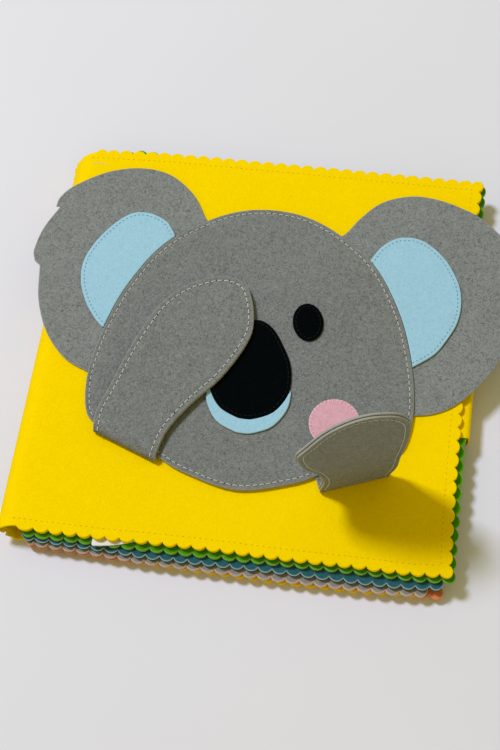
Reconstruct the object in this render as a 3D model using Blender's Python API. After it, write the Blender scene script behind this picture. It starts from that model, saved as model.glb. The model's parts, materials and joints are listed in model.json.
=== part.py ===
"""A closed quiet book of sewn felt sheets, with a koala face that plays peekaboo on its cover.

X runs from the spine to the fore-edge, Y up the cover and Z up. The origin is on the underside
of the back cover, straight below the middle of the koala's head.
"""

import math

import bmesh
import bpy
from mathutils import Matrix, Vector

MM = 0.001
DEGREE = math.pi / 180

# The felt and the gaps between sheets
FELT = 1.2 * MM
RIBBON = 1.0 * MM
SEAM_GAP = 0.3 * MM
PAGE_GAP = 0.5 * MM
OVERRUN = 6 * MM

# The front cover and the boards under it
COVER_WIDTH = 222 * MM
FORE_SIDE = 109 * MM
COVER_HEIGHT = 217 * MM
LEAF_1_TALLER = 1.8 * MM
LEAF_1_REACH = 1.3 * MM
LEAF_2_REACH = -4.0 * MM
LEAF_3_REACH = -11.1 * MM
LEAF_4_REACH = -3.4 * MM
BACK_COVER_REACH = -9.0 * MM
LEAF_1_SLIP = 0 * MM
LEAF_2_SLIP = 4.5 * MM
LEAF_3_SLIP = 7.0 * MM
LEAF_4_SLIP = 7.5 * MM
BACK_COVER_SLIP = 8.0 * MM

# The scalloped edge that pinking shears leave
SCALLOP_PITCH = 7 * MM
SCALLOP_DEPTH = 2 * MM
CORNER_LOBE_SHARE = 0.62
SCALLOP_STEPS = 3
SPINE_STEPS = 6

# The koala's head and what is sewn on it
HEAD_HALF_WIDTH = 82.7 * MM
HEAD_HALF_HEIGHT = 77.8 * MM
NOSE_HALF_WIDTH = 20.5 * MM
NOSE_HEIGHT = 54 * MM
NOSE_TOP = 13 * MM
MOUTH_HALF_WIDTH = 21.2 * MM
MOUTH_DROP = 7.8 * MM
MOUTH_TOP = -27 * MM
EYE_HALF_WIDTH = 7.8 * MM
EYE_HALF_HEIGHT = 10.4 * MM
EYE_SIDE = 25.2 * MM
EYE_RISE = 14.6 * MM
EYE_TILT = 12 * DEGREE
CHEEK_RADIUS = 12.8 * MM
CHEEK_SIDE = 44.5 * MM
CHEEK_DROP = 38.5 * MM
ROUND_SIDES = 36
CURVE_STEPS = 4

# The ears, which fold up along a straight line just outside the head
EAR_FOLD_ANGLE = 26.6 * DEGREE
EAR_FOLD_DISTANCE = 75.8 * MM

# The arms, which fold over the face at the chin
ARM_LENGTH = 105 * MM
ARM_HALF_WIDTH = 17.6 * MM
ARM_FOLD_SIDE = 58.1 * MM
ARM_FOLD_DROP = 62.1 * MM
ARM_TILT = 20.6 * DEGREE
RIGHT_ARM_SHIFT = 2 * MM
RIGHT_ARM_NEARER = 2.4 * MM
RIGHT_ARM_RAISE = 90 * DEGREE
TAB_LENGTH = 11 * MM
BEND_STEPS = 5

# The closure strap at the fore-edge and the white tab at the bottom edge
STRAP_WIDTH = 47 * MM
STRAP_MIDDLE = -13.5 * MM
STRAP_ROOT = 20 * MM
STRAP_LIFT = 3 * MM
STRAP_BEND = 0.5 * MM
TAB_LEFT = -66.5 * MM
TAB_WIDTH = 28 * MM
TAB_DEPTH = 15 * MM
TAB_SHOW = 3.8 * MM

# Half outlines as shares of the half width and half height, from the crown to the chin
HEAD_SHARES = (
    (0, 1), (0.314, 0.93), (0.641, 0.688), (0.84, 0.36), (0.949, 0.026), (1, -0.31),
    (0.973, -0.565), (0.895, -0.662), (0.689, -0.752), (0.496, -0.836), (0.326, -0.92), (0, -1),
)
# The same for the nose, with its height measured down from its top
NOSE_SHARES = (
    (0, 0), (0.38, -0.07), (0.68, -0.23), (0.92, -0.41), (1, -0.6), (0.93, -0.75), (0.66, -0.905), (0.25, -0.985),
    (0, -1),
)

# Outlines of the ears and their light patches, as shares of the head's half sizes, outward
# positive. A third value marks a sharp corner.
LEFT_EAR_SHARES = (
    (0.432, 0.902), (0.533, 1.071), (0.701, 1.207), (0.895, 1.238), (1.112, 1.179), (1.308, 1.045), (1.389, 0.941),
    (1.404, 0.869, True), (1.377, 0.871, True), (1.457, 0.694), (1.49, 0.527), (1.474, 0.451, True),
    (1.435, 0.418, True), (1.4, 0.167), (1.306, -0.064), (1.161, -0.231), (1.002, -0.31, True),
    (0.87, -0.25, True), (0.726, 0.27), (0.556, 0.578), (0.351, 0.803, True),
)
RIGHT_EAR_SHARES = (
    (0.459, 0.874), (0.543, 0.999), (0.641, 1.118), (0.75, 1.186), (0.895, 1.219), (1.056, 1.198), (1.2, 1.144),
    (1.305, 1.087), (1.439, 0.965), (1.499, 0.893), (1.524, 0.835, True), (1.495, 0.838, True), (1.56, 0.694),
    (1.588, 0.566), (1.579, 0.482, True), (1.539, 0.454, True), (1.53, 0.257), (1.492, 0.077), (1.383, -0.111),
    (1.249, -0.266), (1.123, -0.343), (1.006, -0.371, True), (0.87, -0.308, True), (0.726, 0.27), (0.556, 0.578),
    (0.351, 0.803, True),
)
LEFT_PATCH_SHARES = (
    (0.608, 0.735), (0.66, 0.821), (0.732, 0.868), (0.814, 0.889), (0.908, 0.87), (1.006, 0.781), (1.105, 0.631),
    (1.158, 0.481), (1.152, 0.33), (1.096, 0.181), (1.011, 0.058), (0.94, -0.01, True), (0.58, 0.64, True),
)
RIGHT_PATCH_SHARES = (
    (0.647, 0.699), (0.701, 0.796), (0.778, 0.865), (0.851, 0.889), (0.947, 0.878), (1.046, 0.814),
    (1.135, 0.712), (1.208, 0.564), (1.23, 0.428), (1.214, 0.296), (1.162, 0.174), (1.092, 0.059),
    (0.966, -0.049, True), (0.6, 0.62, True),
)
# The left arm, as shares of half the fold's width across and of the arm's length along
LEFT_ARM_SHARES = (
    (-1, 0, True), (-1.17, 0.1), (-1.2, 0.24), (-1.27, 0.417), (-1.26, 0.568), (-1.17, 0.712), (-0.87, 0.837),
    (-0.43, 0.925), (0, 0.98), (0.48, 1), (0.93, 0.974), (1.43, 0.865), (1.66, 0.739), (1.52, 0.519), (1.14, 0.328),
    (0.92, 0.156), (1, 0, True),
)
# The same for the right arm, which is cut a little wider and shorter on its inner side
RIGHT_ARM_SHARES = (
    (-1, 0, True), (-1.19, 0.0998), (-1.24, 0.24), (-1.34, 0.417), (-1.36, 0.568), (-1.29, 0.711),
    (-0.971, 0.829), (-0.484, 0.898), (0, 0.921), (0.54, 0.893), (1.04, 0.814), (1.56, 0.657),
    (1.79, 0.562), (1.6, 0.394), (1.18, 0.264), (0.937, 0.131), (1, 0, True),
)
# The white tab's outline, as shares of its width and depth
WHITE_TAB_SHARES = (
    (0, 0.05, True), (0.02, 0, True), (0.34, 0.08, True), (0.59, 0.2, True), (0.77, 0.33, True),
    (1, 0.55, True), (1, 1, True), (0, 1, True),
)

YELLOW = (0.92, 0.62, 0.005)
GREEN = (0.1, 0.3, 0.01)
TEAL = (0.04, 0.2, 0.22)
NAVY = (0.01, 0.02, 0.04)
LEAF_GREY = (0.3, 0.28, 0.26)
ORANGE = (0.5, 0.13, 0.03)
KOALA_GREY = (0.2, 0.2, 0.18)
LIGHT_BLUE = (0.33, 0.57, 0.68)
BLACK = (0.004, 0.006, 0.007)
PINK = (0.72, 0.34, 0.38)
WHITE = (0.75, 0.73, 0.65)
FELT_ROUGHNESS = 0.95

# Heights worked out from the felt and the gaps
BOARD = 2 * FELT + SEAM_GAP
POCKET_GAP = RIBBON + 2 * SEAM_GAP
UPPER_HALF = 1.5 * PAGE_GAP + 3 * BOARD + POCKET_GAP
LOWER_HALF = 2.5 * PAGE_GAP + 3 * BOARD
COVER_TOP = LOWER_HALF + UPPER_HALF
LAYER_PITCH = FELT + SEAM_GAP
SPINE_X = FORE_SIDE - COVER_WIDTH
POCKET_TOP = COVER_TOP - BOARD
RIBBON_BOTTOM = POCKET_TOP - SEAM_GAP - RIBBON

# Layers sewn on the cover: head backing, head front, face, arm back and arm front
BACKING, FRONT, FACE, ARM_BACK, ARM_FRONT = range(5)


def layer_bottom(layer):
    """Returns the height of a layer's underside above the cover's top."""
    return SEAM_GAP + layer * LAYER_PITCH


BEND_HEIGHT = (layer_bottom(BACKING) + layer_bottom(ARM_BACK) + FELT) / 2
TAB_OUTER_RADIUS = BEND_HEIGHT - layer_bottom(BACKING)
TAB_INNER_RADIUS = TAB_OUTER_RADIUS - FELT
AXIS_HEIGHT = (layer_bottom(ARM_FRONT) + FELT + SEAM_GAP) / 2
AXIS_TO_BEND = TAB_OUTER_RADIUS + SEAM_GAP / 2
FOLD_SPLIT = AXIS_HEIGHT - BEND_HEIGHT - SEAM_GAP / 2


# Scene helpers
def clear_scene():
    """Removes every object, so that the script can run again."""
    for item in list(bpy.data.objects):
        bpy.data.objects.remove(item, do_unlink=True)


def new_collection(name):
    """Returns a new collection, linked to the scene."""
    collection = bpy.data.collections.new(name)
    bpy.context.scene.collection.children.link(collection)
    return collection


def felt_material(name, colour):
    """Returns a matt felt material of one colour."""
    material = bpy.data.materials.new(name)
    material.use_nodes = True
    shader = material.node_tree.nodes["Principled BSDF"]
    shader.inputs["Base Color"].default_value = (*colour, 1)
    shader.inputs["Roughness"].default_value = FELT_ROUGHNESS
    shader.inputs["Metallic"].default_value = 0
    return material


def adopt(item, parent):
    """Parents an object and keeps it where it is."""
    bpy.context.view_layer.update()
    item.parent = parent
    item.matrix_parent_inverse = parent.matrix_world.inverted()


def axis_empty(name, location, turn=0.0, parent=None):
    """Places an empty on a joint's axis, turned about Z."""
    empty = bpy.data.objects.new(name, None)
    PARTS.objects.link(empty)
    empty.location = location
    empty.rotation_euler = (0, 0, turn)
    if parent:
        adopt(empty, parent)
    return empty


def prism(name, points, thickness, matrix):
    """Extrudes a closed flat outline by its thickness and returns a welded mesh object.

    The outline lies in the local XY plane of the matrix, halfway through the thickness.
    """
    curve = bpy.data.curves.new(name, "CURVE")
    curve.dimensions = "2D"
    curve.fill_mode = "BOTH"
    curve.extrude = thickness / 2
    spline = curve.splines.new("POLY")
    spline.points.add(len(points) - 1)
    for point, (x, y) in zip(spline.points, points):
        point.co = (x, y, 0, 1)
    spline.use_cyclic_u = True
    outline = bpy.data.objects.new(name + "_outline", curve)
    bpy.context.scene.collection.objects.link(outline)
    outline.matrix_world = matrix
    bpy.context.view_layer.update()
    evaluated = outline.evaluated_get(bpy.context.evaluated_depsgraph_get())
    mesh = bpy.data.meshes.new_from_object(evaluated)
    bpy.data.objects.remove(outline, do_unlink=True)
    welded = bmesh.new()
    welded.from_mesh(mesh)
    bmesh.ops.remove_doubles(welded, verts=welded.verts, dist=WELD)
    bmesh.ops.recalc_face_normals(welded, faces=welded.faces)
    welded.to_mesh(mesh)
    welded.free()
    mesh.name = name
    item = bpy.data.objects.new(name, mesh)
    item.matrix_world = matrix
    return item


WELD = FELT / 1000


def keep_part(item, colour, parent=None):
    """Adds a finished piece to the book's collection."""
    PARTS.objects.link(item)
    item.data.materials.clear()
    item.data.materials.append(felt_material(item.name + "_felt", colour))
    if parent:
        adopt(item, parent)
    return item


def keep_cutter(item, parent=None):
    """Adds a cutter, which is left out of the part."""
    CUTTERS.objects.link(item)
    item.hide_render = True
    item.display_type = "WIRE"
    if parent:
        adopt(item, parent)
    return item


def cut(item, cutter, operation="DIFFERENCE"):
    """Cuts a piece with an exact Boolean that stays live."""
    modifier = item.modifiers.new(cutter.name, "BOOLEAN")
    modifier.operation = operation
    modifier.solver = "EXACT"
    modifier.object = cutter


def box_cutter(name, size, matrix, parent=None):
    """Makes a box cutter centred on the matrix."""
    bpy.ops.mesh.primitive_cube_add(size=1)
    box = bpy.context.object
    box.name = name
    for collection in list(box.users_collection):
        collection.objects.unlink(box)
    box.data.transform(Matrix.Diagonal((*size, 1)))
    box.matrix_world = matrix
    return keep_cutter(box, parent)


# Outlines
def scaled(shares, width, height, centre=(0, 0), side=1):
    """Turns a table of shares into points, mirrored where side is -1."""
    points = []
    for x, y, *sharp in shares:
        points.append((centre[0] + side * x * width, centre[1] + y * height, bool(sharp)))
    return points


def both_halves(shares):
    """Joins a half outline and its mirror image into one closed list."""
    return list(shares) + [(-x, y) for x, y in reversed(shares[1:-1])]


def smooth_loop(points, steps=CURVE_STEPS):
    """Returns a closed curve through the points, with corners where they are marked sharp."""
    loop = []
    count = len(points)
    for i in range(count):
        before, start, end, after = (points[(i + k) % count] for k in (-1, 0, 1, 2))
        a, b, c, d = (Vector(p[:2]) for p in (before, start, end, after))
        leave = c - b if start[2] else (c - a) / 2
        arrive = c - b if end[2] else (d - b) / 2
        straight = start[2] and end[2]
        for k in range(1 if straight else steps):
            t = k / steps
            spot = (
                b * (2 * t**3 - 3 * t**2 + 1)
                + leave * (t**3 - 2 * t**2 + t)
                + c * (3 * t**2 - 2 * t**3)
                + arrive * (t**3 - t**2)
            )
            loop.append(tuple(spot))
    return loop


def grown(points, margin):
    """Moves a closed outline outwards by a margin, along the normals of its corners."""
    ring = [Vector(p) for p in points]
    area = sum(a.x * b.y - b.x * a.y for a, b in zip(ring, ring[1:] + ring[:1]))
    turn = 1 if area > 0 else -1
    result = []
    for i, here in enumerate(ring):
        along = (here - ring[i - 1]).normalized() + (ring[(i + 1) % len(ring)] - here).normalized()
        along.normalize()
        result.append(tuple(here + Vector((along.y, -along.x)) * turn * margin))
    return result


def arc(centre, radius, start, end, steps):
    """Returns points along an arc, both ends included."""
    return [
        (centre[0] + radius * math.cos(a), centre[1] + radius * math.sin(a))
        for a in (start + (end - start) * k / steps for k in range(steps + 1))
    ]


def bumps(start, end, count):
    """Returns the scallops between two points, without the end, bulging to the right."""
    start, end = Vector(start), Vector(end)
    step = (end - start) / count
    along = step.normalized()
    outward = Vector((along.y, -along.x))
    half = step.length / 2
    radius = (half**2 + SCALLOP_DEPTH**2) / (2 * SCALLOP_DEPTH)
    reach = math.asin(half / radius)
    points = []
    for i in range(count):
        middle = start + step * (i + 1 / 2) - outward * (radius - SCALLOP_DEPTH)
        for k in range(SCALLOP_STEPS):
            angle = reach * (2 * k / SCALLOP_STEPS - 1)
            points.append(tuple(middle + outward * radius * math.cos(angle) + along * radius * math.sin(angle)))
    return points


def corner_lobe(corner, lobe, start):
    """Returns the round lobe at a corner of the scalloped edge, without its end."""
    inset = lobe + SCALLOP_DEPTH - math.sqrt(2 * SCALLOP_DEPTH * (lobe + SCALLOP_DEPTH))
    radius = inset + SCALLOP_DEPTH
    across = Matrix.Rotation(start, 2)
    centre = Vector(corner) + across @ Vector((-inset, inset))
    spread = math.atan2(inset, lobe - inset)
    sweep = arc((0, 0), radius, -math.pi / 2 - (math.pi / 2 - spread), math.pi / 2 - spread, 2 * SCALLOP_STEPS)
    return [tuple(centre + across @ Vector(p)) for p in sweep[:-1]]


def scalloped_outline(left, right, bottom, top, spine_slant):
    """Returns a board's outline: scallops on three sides and a plain margin at the spine."""
    lobe = SCALLOP_PITCH * CORNER_LOBE_SHARE
    low, high, far = bottom + SCALLOP_DEPTH, top - SCALLOP_DEPTH, right - SCALLOP_DEPTH
    across = round((far - lobe - left) / SCALLOP_PITCH)
    upward = round((high - low - 2 * lobe) / SCALLOP_PITCH)
    margin = left - SPINE_X
    slant = spine_slant * (margin + OVERRUN) / margin
    points = [(SPINE_X - OVERRUN, low + slant)]
    points += bumps((left, low), (far - lobe, low), across)
    points += corner_lobe((far, low), lobe, 0)
    points += bumps((far, low + lobe), (far, high - lobe), upward)
    points += corner_lobe((far, high), lobe, math.pi / 2)
    points += bumps((far - lobe, high), (left, high), across)
    points += [(left, high), (SPINE_X - OVERRUN, high + slant)]
    return points


def bent_profile(centre, inner, end, side, split, steps):
    """Returns the section of a sheet that is flat, then bends about a quarter turn.

    Side 1 has the flat above the bend's centre and side -1 has it below. The bend stops half
    a seam gap short of a level split, which is measured upwards from the centre.
    """
    outer = inner + FELT
    stop = side * split + SEAM_GAP / 2
    outer_arc = arc((0, 0), outer, math.pi - math.asin(stop / outer), math.pi / 2, steps)
    inner_arc = arc((0, 0), inner, math.pi - math.asin(stop / inner), math.pi / 2, steps)
    flat = [(end - centre[0], outer), (end - centre[0], inner)]
    return [(centre[0] + x, centre[1] + side * z) for x, z in outer_arc + flat + inner_arc[::-1]]


# The book
def board_stack():
    """Returns each board's name, side of the split, depth in its half, edges and colours."""
    inner = PAGE_GAP / 2
    middle = inner + BOARD + PAGE_GAP
    lower = LOWER_HALF - BOARD
    upper = UPPER_HALF - BOARD
    return (
        ("back_cover", -1, lower, BACK_COVER_REACH, BACK_COVER_SLIP, 0, (YELLOW, YELLOW)),
        ("leaf_4", -1, middle, LEAF_4_REACH, LEAF_4_SLIP, 0, (ORANGE, ORANGE)),
        ("leaf_3", -1, inner, LEAF_3_REACH, LEAF_3_SLIP, 0, (LEAF_GREY, LEAF_GREY)),
        ("leaf_2", 1, inner, LEAF_2_REACH, LEAF_2_SLIP, 0, (NAVY, TEAL)),
        ("leaf_1", 1, middle, LEAF_1_REACH, LEAF_1_SLIP, LEAF_1_TALLER, (GREEN, GREEN)),
        ("front_cover", 1, upper, 0, 0, 0, (YELLOW, YELLOW)),
    )


def sheet_names(name, side):
    """Names a board's inner and outer sheet, counted from the book's middle."""
    if name.endswith("cover"):
        return name + "_lining", name + "_outer"
    return (name + "_back", name + "_front") if side > 0 else (name + "_front", name + "_back")


def make_board(name, side, distance, reach, slip, taller, colours, parent):
    """Makes the two sheets of one board, bent into the spine."""
    top = COVER_HEIGHT / 2 - slip
    bottom = -COVER_HEIGHT / 2 - slip - taller
    right = FORE_SIDE + reach
    bend = (SPINE_X + (UPPER_HALF if side > 0 else LOWER_HALF), LOWER_HALF)
    for sheet, label in enumerate(sheet_names(name, side)):
        inner = distance + sheet * LAYER_PITCH
        is_outer = label.endswith("outer")
        slant = -side * BACK_COVER_SLIP / 2 if is_outer else 0
        section = bent_profile(bend, inner, right + OVERRUN, side, 0, SPINE_STEPS)
        place = Matrix.Translation((0, (top + bottom) / 2, 0)) @ Matrix.Rotation(math.pi / 2, 4, "X")
        slab = prism(label, section, top - bottom + 2 * OVERRUN, place)
        outline = scalloped_outline(bend[0], right, bottom, top, slant)
        pinking = prism(label + "_pinking", outline, 2 * COVER_TOP, Matrix.Translation((0, 0, LOWER_HALF)))
        keep_part(slab, colours[sheet], parent)
        cut(slab, keep_cutter(pinking, parent), "INTERSECT")


def make_book():
    """Makes the six boards, each hinged to the one below at the middle of the spine."""
    bodies = {}
    below = None
    for name, *values in board_stack():
        if bodies:
            below = axis_empty(name + "_axis", (SPINE_X, 0, LOWER_HALF), parent=below)
        bodies[name] = below
        make_board(name, *values, below)
    return bodies


# The koala
def sewn_piece(name, points, layer, colour, parent):
    """Cuts a felt piece to an outline and lays it in one of the cover's layers."""
    place = Matrix.Translation((0, 0, COVER_TOP + layer_bottom(layer) + FELT / 2))
    return keep_part(prism(name, points, FELT, place), colour, parent)


def layer_cutter(name, points, layer, parent):
    """Makes a cutter with an outline that runs through one layer."""
    place = Matrix.Translation((0, 0, COVER_TOP + layer_bottom(layer) + FELT / 2))
    return keep_cutter(prism(name, points, FELT + 2 * SEAM_GAP, place), parent)


def head_outline():
    """Returns the head's outline."""
    return smooth_loop(scaled(both_halves(HEAD_SHARES), HEAD_HALF_WIDTH, HEAD_HALF_HEIGHT))


def nose_outline(half_width, top):
    """Returns the egg shape of the nose at a height."""
    return smooth_loop(scaled(both_halves(NOSE_SHARES), half_width, NOSE_HEIGHT, (0, top)))


def round_piece(name, half_width, half_height, centre, tilt, colour, parent):
    """Makes a round or oval face piece."""
    bpy.ops.mesh.primitive_cylinder_add(vertices=ROUND_SIDES, radius=1, depth=FELT)
    piece = bpy.context.object
    piece.name = name
    for collection in list(piece.users_collection):
        collection.objects.unlink(piece)
    piece.data.transform(Matrix.Diagonal((half_width, half_height, 1, 1)))
    piece.location = (*centre, COVER_TOP + layer_bottom(FACE) + FELT / 2)
    piece.rotation_euler = (0, 0, tilt)
    return keep_part(piece, colour, parent)


def make_face(parent):
    """Makes the nose, the smile under it, the eyes and the cheeks."""
    nose = nose_outline(NOSE_HALF_WIDTH, NOSE_TOP)
    sewn_piece("nose", nose, FACE, BLACK, parent)
    mouth = sewn_piece("mouth", nose_outline(MOUTH_HALF_WIDTH, NOSE_TOP - MOUTH_DROP), FACE, LIGHT_BLUE, parent)
    cut(mouth, layer_cutter("mouth_nose_cutter", grown(nose, SEAM_GAP), FACE, parent))
    width = 2 * MOUTH_HALF_WIDTH + OVERRUN
    height = NOSE_TOP - MOUTH_TOP
    place = Matrix.Translation((0, MOUTH_TOP + height / 2, COVER_TOP + layer_bottom(FACE) + FELT / 2))
    cut(mouth, box_cutter("mouth_top_cutter", (width, height, FELT + 2 * SEAM_GAP), place, parent))
    for name, side in (("left", -1), ("right", 1)):
        eye = (side * EYE_SIDE, EYE_RISE)
        round_piece(name + "_eye", EYE_HALF_WIDTH, EYE_HALF_HEIGHT, eye, side * EYE_TILT, BLACK, parent)
        cheek = (side * CHEEK_SIDE, -CHEEK_DROP)
        round_piece(name + "_cheek", CHEEK_RADIUS, CHEEK_RADIUS, cheek, 0, PINK, parent)


def ear_half_plane(name, side, beyond, parent):
    """Makes a box that fills one side of an ear's fold line, a seam gap off it."""
    reach = 2 * HEAD_HALF_WIDTH
    turn = EAR_FOLD_ANGLE if side > 0 else math.pi - EAR_FOLD_ANGLE
    offset = EAR_FOLD_DISTANCE + beyond * (reach - SEAM_GAP) / 2
    place = Matrix.Rotation(turn, 4, "Z") @ Matrix.Translation((offset, 0, COVER_TOP))
    return box_cutter(name, (reach, 2 * reach, 2 * OVERRUN), place, parent)


def make_ear(name, side, shares, patch_shares, backing, cover):
    """Makes one ear: a root under the head, a flap that lifts and its light patch."""
    outline = smooth_loop(scaled(shares, HEAD_HALF_WIDTH, HEAD_HALF_HEIGHT, side=side))
    patch = smooth_loop(scaled(patch_shares, HEAD_HALF_WIDTH, HEAD_HALF_HEIGHT, side=side))
    turn = EAR_FOLD_ANGLE if side > 0 else math.pi - EAR_FOLD_ANGLE
    fold = Matrix.Rotation(turn, 3, "Z") @ Vector((EAR_FOLD_DISTANCE, 0, 0))
    height = COVER_TOP + layer_bottom(FACE)
    axis = axis_empty(name + "_ear_axis", (fold.x, fold.y, height), turn, cover)
    root = sewn_piece(name + "_ear_root", outline, BACKING, KOALA_GREY, cover)
    cut(root, ear_half_plane(name + "_ear_outside_cutter", side, 1, cover))
    flap = sewn_piece(name + "_ear", outline, BACKING, KOALA_GREY, axis)
    light = sewn_piece(name + "_ear_patch", patch, FRONT, LIGHT_BLUE, axis)
    inside = ear_half_plane(name + "_ear_inside_cutter", side, -1, axis)
    cut(flap, inside)
    cut(light, inside)
    cut(backing, layer_cutter(name + "_ear_notch_cutter", grown(outline, SEAM_GAP), BACKING, cover))


def arm_frame(side):
    """Returns where an arm's fold axis lies and how it is turned about Z."""
    shift = RIGHT_ARM_SHIFT if side > 0 else 0
    nearer = RIGHT_ARM_NEARER if side > 0 else 0
    turn = side * ARM_TILT
    across = Matrix.Rotation(turn, 3, "Z") @ Vector((1, 0, 0))
    inward = Matrix.Rotation(turn, 3, "Z") @ Vector((0, 1, 0))
    spot = Vector((side * ARM_FOLD_SIDE, -ARM_FOLD_DROP, COVER_TOP + AXIS_HEIGHT))
    return spot - inward * shift - across * nearer, turn


def bent_arm_sheet(name, end, side, outline, frame, parent):
    """Makes a sheet of an arm that bends at the fold and is cut to an outline."""
    bend = (AXIS_TO_BEND, BEND_HEIGHT - AXIS_HEIGHT)
    section = bent_profile(bend, TAB_INNER_RADIUS, end, side, FOLD_SPLIT, BEND_STEPS)
    across = Matrix(((0, 0, 1, 0), (1, 0, 0, 0), (0, 1, 0, 0), (0, 0, 0, 1)))
    sheet = prism(name, section, 4 * ARM_HALF_WIDTH, frame @ across)
    keep_part(sheet, KOALA_GREY, parent)
    cutter = prism(name + "_outline_cutter", outline, 2 * COVER_TOP, frame)
    cut(sheet, keep_cutter(cutter, parent), "INTERSECT")


def arm_outline(side, start):
    """Returns an arm's outline over the face, from a straight edge at its fold."""
    shares = RIGHT_ARM_SHARES if side > 0 else LEFT_ARM_SHARES
    curve = smooth_loop(scaled(shares, ARM_HALF_WIDTH, ARM_LENGTH, side=-side))
    return [(curve[0][0], start), *curve[1:-1], (curve[-1][0], start)]


def make_arm(name, side, backing, cover):
    """Makes one arm: a tab sewn under the head and two sheets that fold over the face."""
    spot, turn = arm_frame(side)
    frame = Matrix.Translation(spot) @ Matrix.Rotation(turn, 4, "Z")
    axis = axis_empty(name + "_arm_axis", spot, turn, cover)
    tab_end = AXIS_TO_BEND + TAB_LENGTH
    half, far = ARM_HALF_WIDTH, tab_end + OVERRUN
    strip = [(-half, -far), (half, -far), (half, far), (-half, far)]
    bent_arm_sheet(name + "_arm_tab", tab_end, -1, strip, frame, cover)
    notch = (2 * (half + SEAM_GAP), 2 * (TAB_LENGTH + SEAM_GAP), FELT + 2 * SEAM_GAP)
    level = layer_bottom(BACKING) + FELT / 2 - AXIS_HEIGHT
    place = frame @ Matrix.Translation((0, AXIS_TO_BEND, level))
    cut(backing, box_cutter(name + "_arm_notch_cutter", notch, place, cover))
    end = ARM_LENGTH + OVERRUN
    bent_arm_sheet(name + "_arm_back", end, 1, arm_outline(side, 0), frame, axis)
    level = layer_bottom(ARM_FRONT) + FELT / 2 - AXIS_HEIGHT
    place = frame @ Matrix.Translation((0, 0, level))
    front = prism(name + "_arm_front", arm_outline(side, SEAM_GAP / 2), FELT, place)
    keep_part(front, KOALA_GREY, axis)
    return axis


def make_koala(cover):
    """Makes the koala on the front cover."""
    outline = head_outline()
    backing = sewn_piece("head_backing", outline, BACKING, KOALA_GREY, cover)
    sewn_piece("head_front", outline, FRONT, KOALA_GREY, cover)
    make_face(cover)
    make_ear("left", -1, LEFT_EAR_SHARES, LEFT_PATCH_SHARES, backing, cover)
    make_ear("right", 1, RIGHT_EAR_SHARES, RIGHT_PATCH_SHARES, backing, cover)
    make_arm("left", -1, backing, cover)
    raised = make_arm("right", 1, backing, cover)
    raised.rotation_euler = (RIGHT_ARM_RAISE, 0, raised.rotation_euler.z)


# The strap and the tab
def make_strap(cover):
    """Makes the closure strap: a root under the cover and a flap down the fore-edge."""
    axis_x = FORE_SIDE + SEAM_GAP
    axis = axis_empty("strap_axis", (axis_x, STRAP_MIDDLE, COVER_TOP - BOARD), parent=cover)
    root_end = axis_x - SEAM_GAP / 2
    root = [(root_end - STRAP_ROOT, 0), (root_end, 0), (root_end, RIBBON), (root_end - STRAP_ROOT, RIBBON)]
    upright = Matrix.Rotation(math.pi / 2, 4, "X")
    place = Matrix.Translation((0, STRAP_MIDDLE, RIBBON_BOTTOM)) @ upright
    keep_part(prism("strap_root", root, STRAP_WIDTH, place), YELLOW, cover)
    bend_x = FORE_SIDE + LEAF_1_REACH
    outer, inner = STRAP_BEND + RIBBON, STRAP_BEND
    bend_z = RIBBON_BOTTOM - STRAP_BEND
    start = axis_x + SEAM_GAP / 2
    section = [(start, bend_z + inner)]
    section += [(start, bend_z + outer)]
    section += arc((bend_x, bend_z), outer, math.pi / 2, 0, BEND_STEPS)
    section += [(bend_x + outer, STRAP_LIFT), (bend_x + inner, STRAP_LIFT)]
    section += arc((bend_x, bend_z), inner, 0, math.pi / 2, BEND_STEPS)
    place = Matrix.Translation((0, STRAP_MIDDLE, 0)) @ upright
    keep_part(prism("strap", section, STRAP_WIDTH, place), YELLOW, axis)


def make_white_tab(leaf):
    """Makes the white tab sewn on the first leaf, which shows at the bottom edge."""
    low = -COVER_HEIGHT / 2 - TAB_SHOW
    points = [p[:2] for p in scaled(WHITE_TAB_SHARES, TAB_WIDTH, TAB_DEPTH, (TAB_LEFT, low))]
    place = Matrix.Translation((0, 0, RIBBON_BOTTOM + RIBBON / 2))
    keep_part(prism("white_tab", points, RIBBON, place), WHITE, leaf)


clear_scene()
PARTS = new_collection("quiet_book")
CUTTERS = new_collection("cutters")
BODIES = make_book()
make_koala(BODIES["front_cover"])
make_strap(BODIES["front_cover"])
make_white_tab(BODIES["leaf_1"])
bpy.context.view_layer.update()
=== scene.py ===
"""Dresses the felt quiet book: sewn boards, koala, strap, threads and studio."""

import json
import logging
import math
from abc import ABC, abstractmethod
from collections.abc import Callable
from dataclasses import dataclass, field, replace
from enum import Enum

import bpy
import numpy as np
from mathutils import Matrix, Vector, noise
from mathutils.geometry import delaunay_2d_cdt

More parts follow.
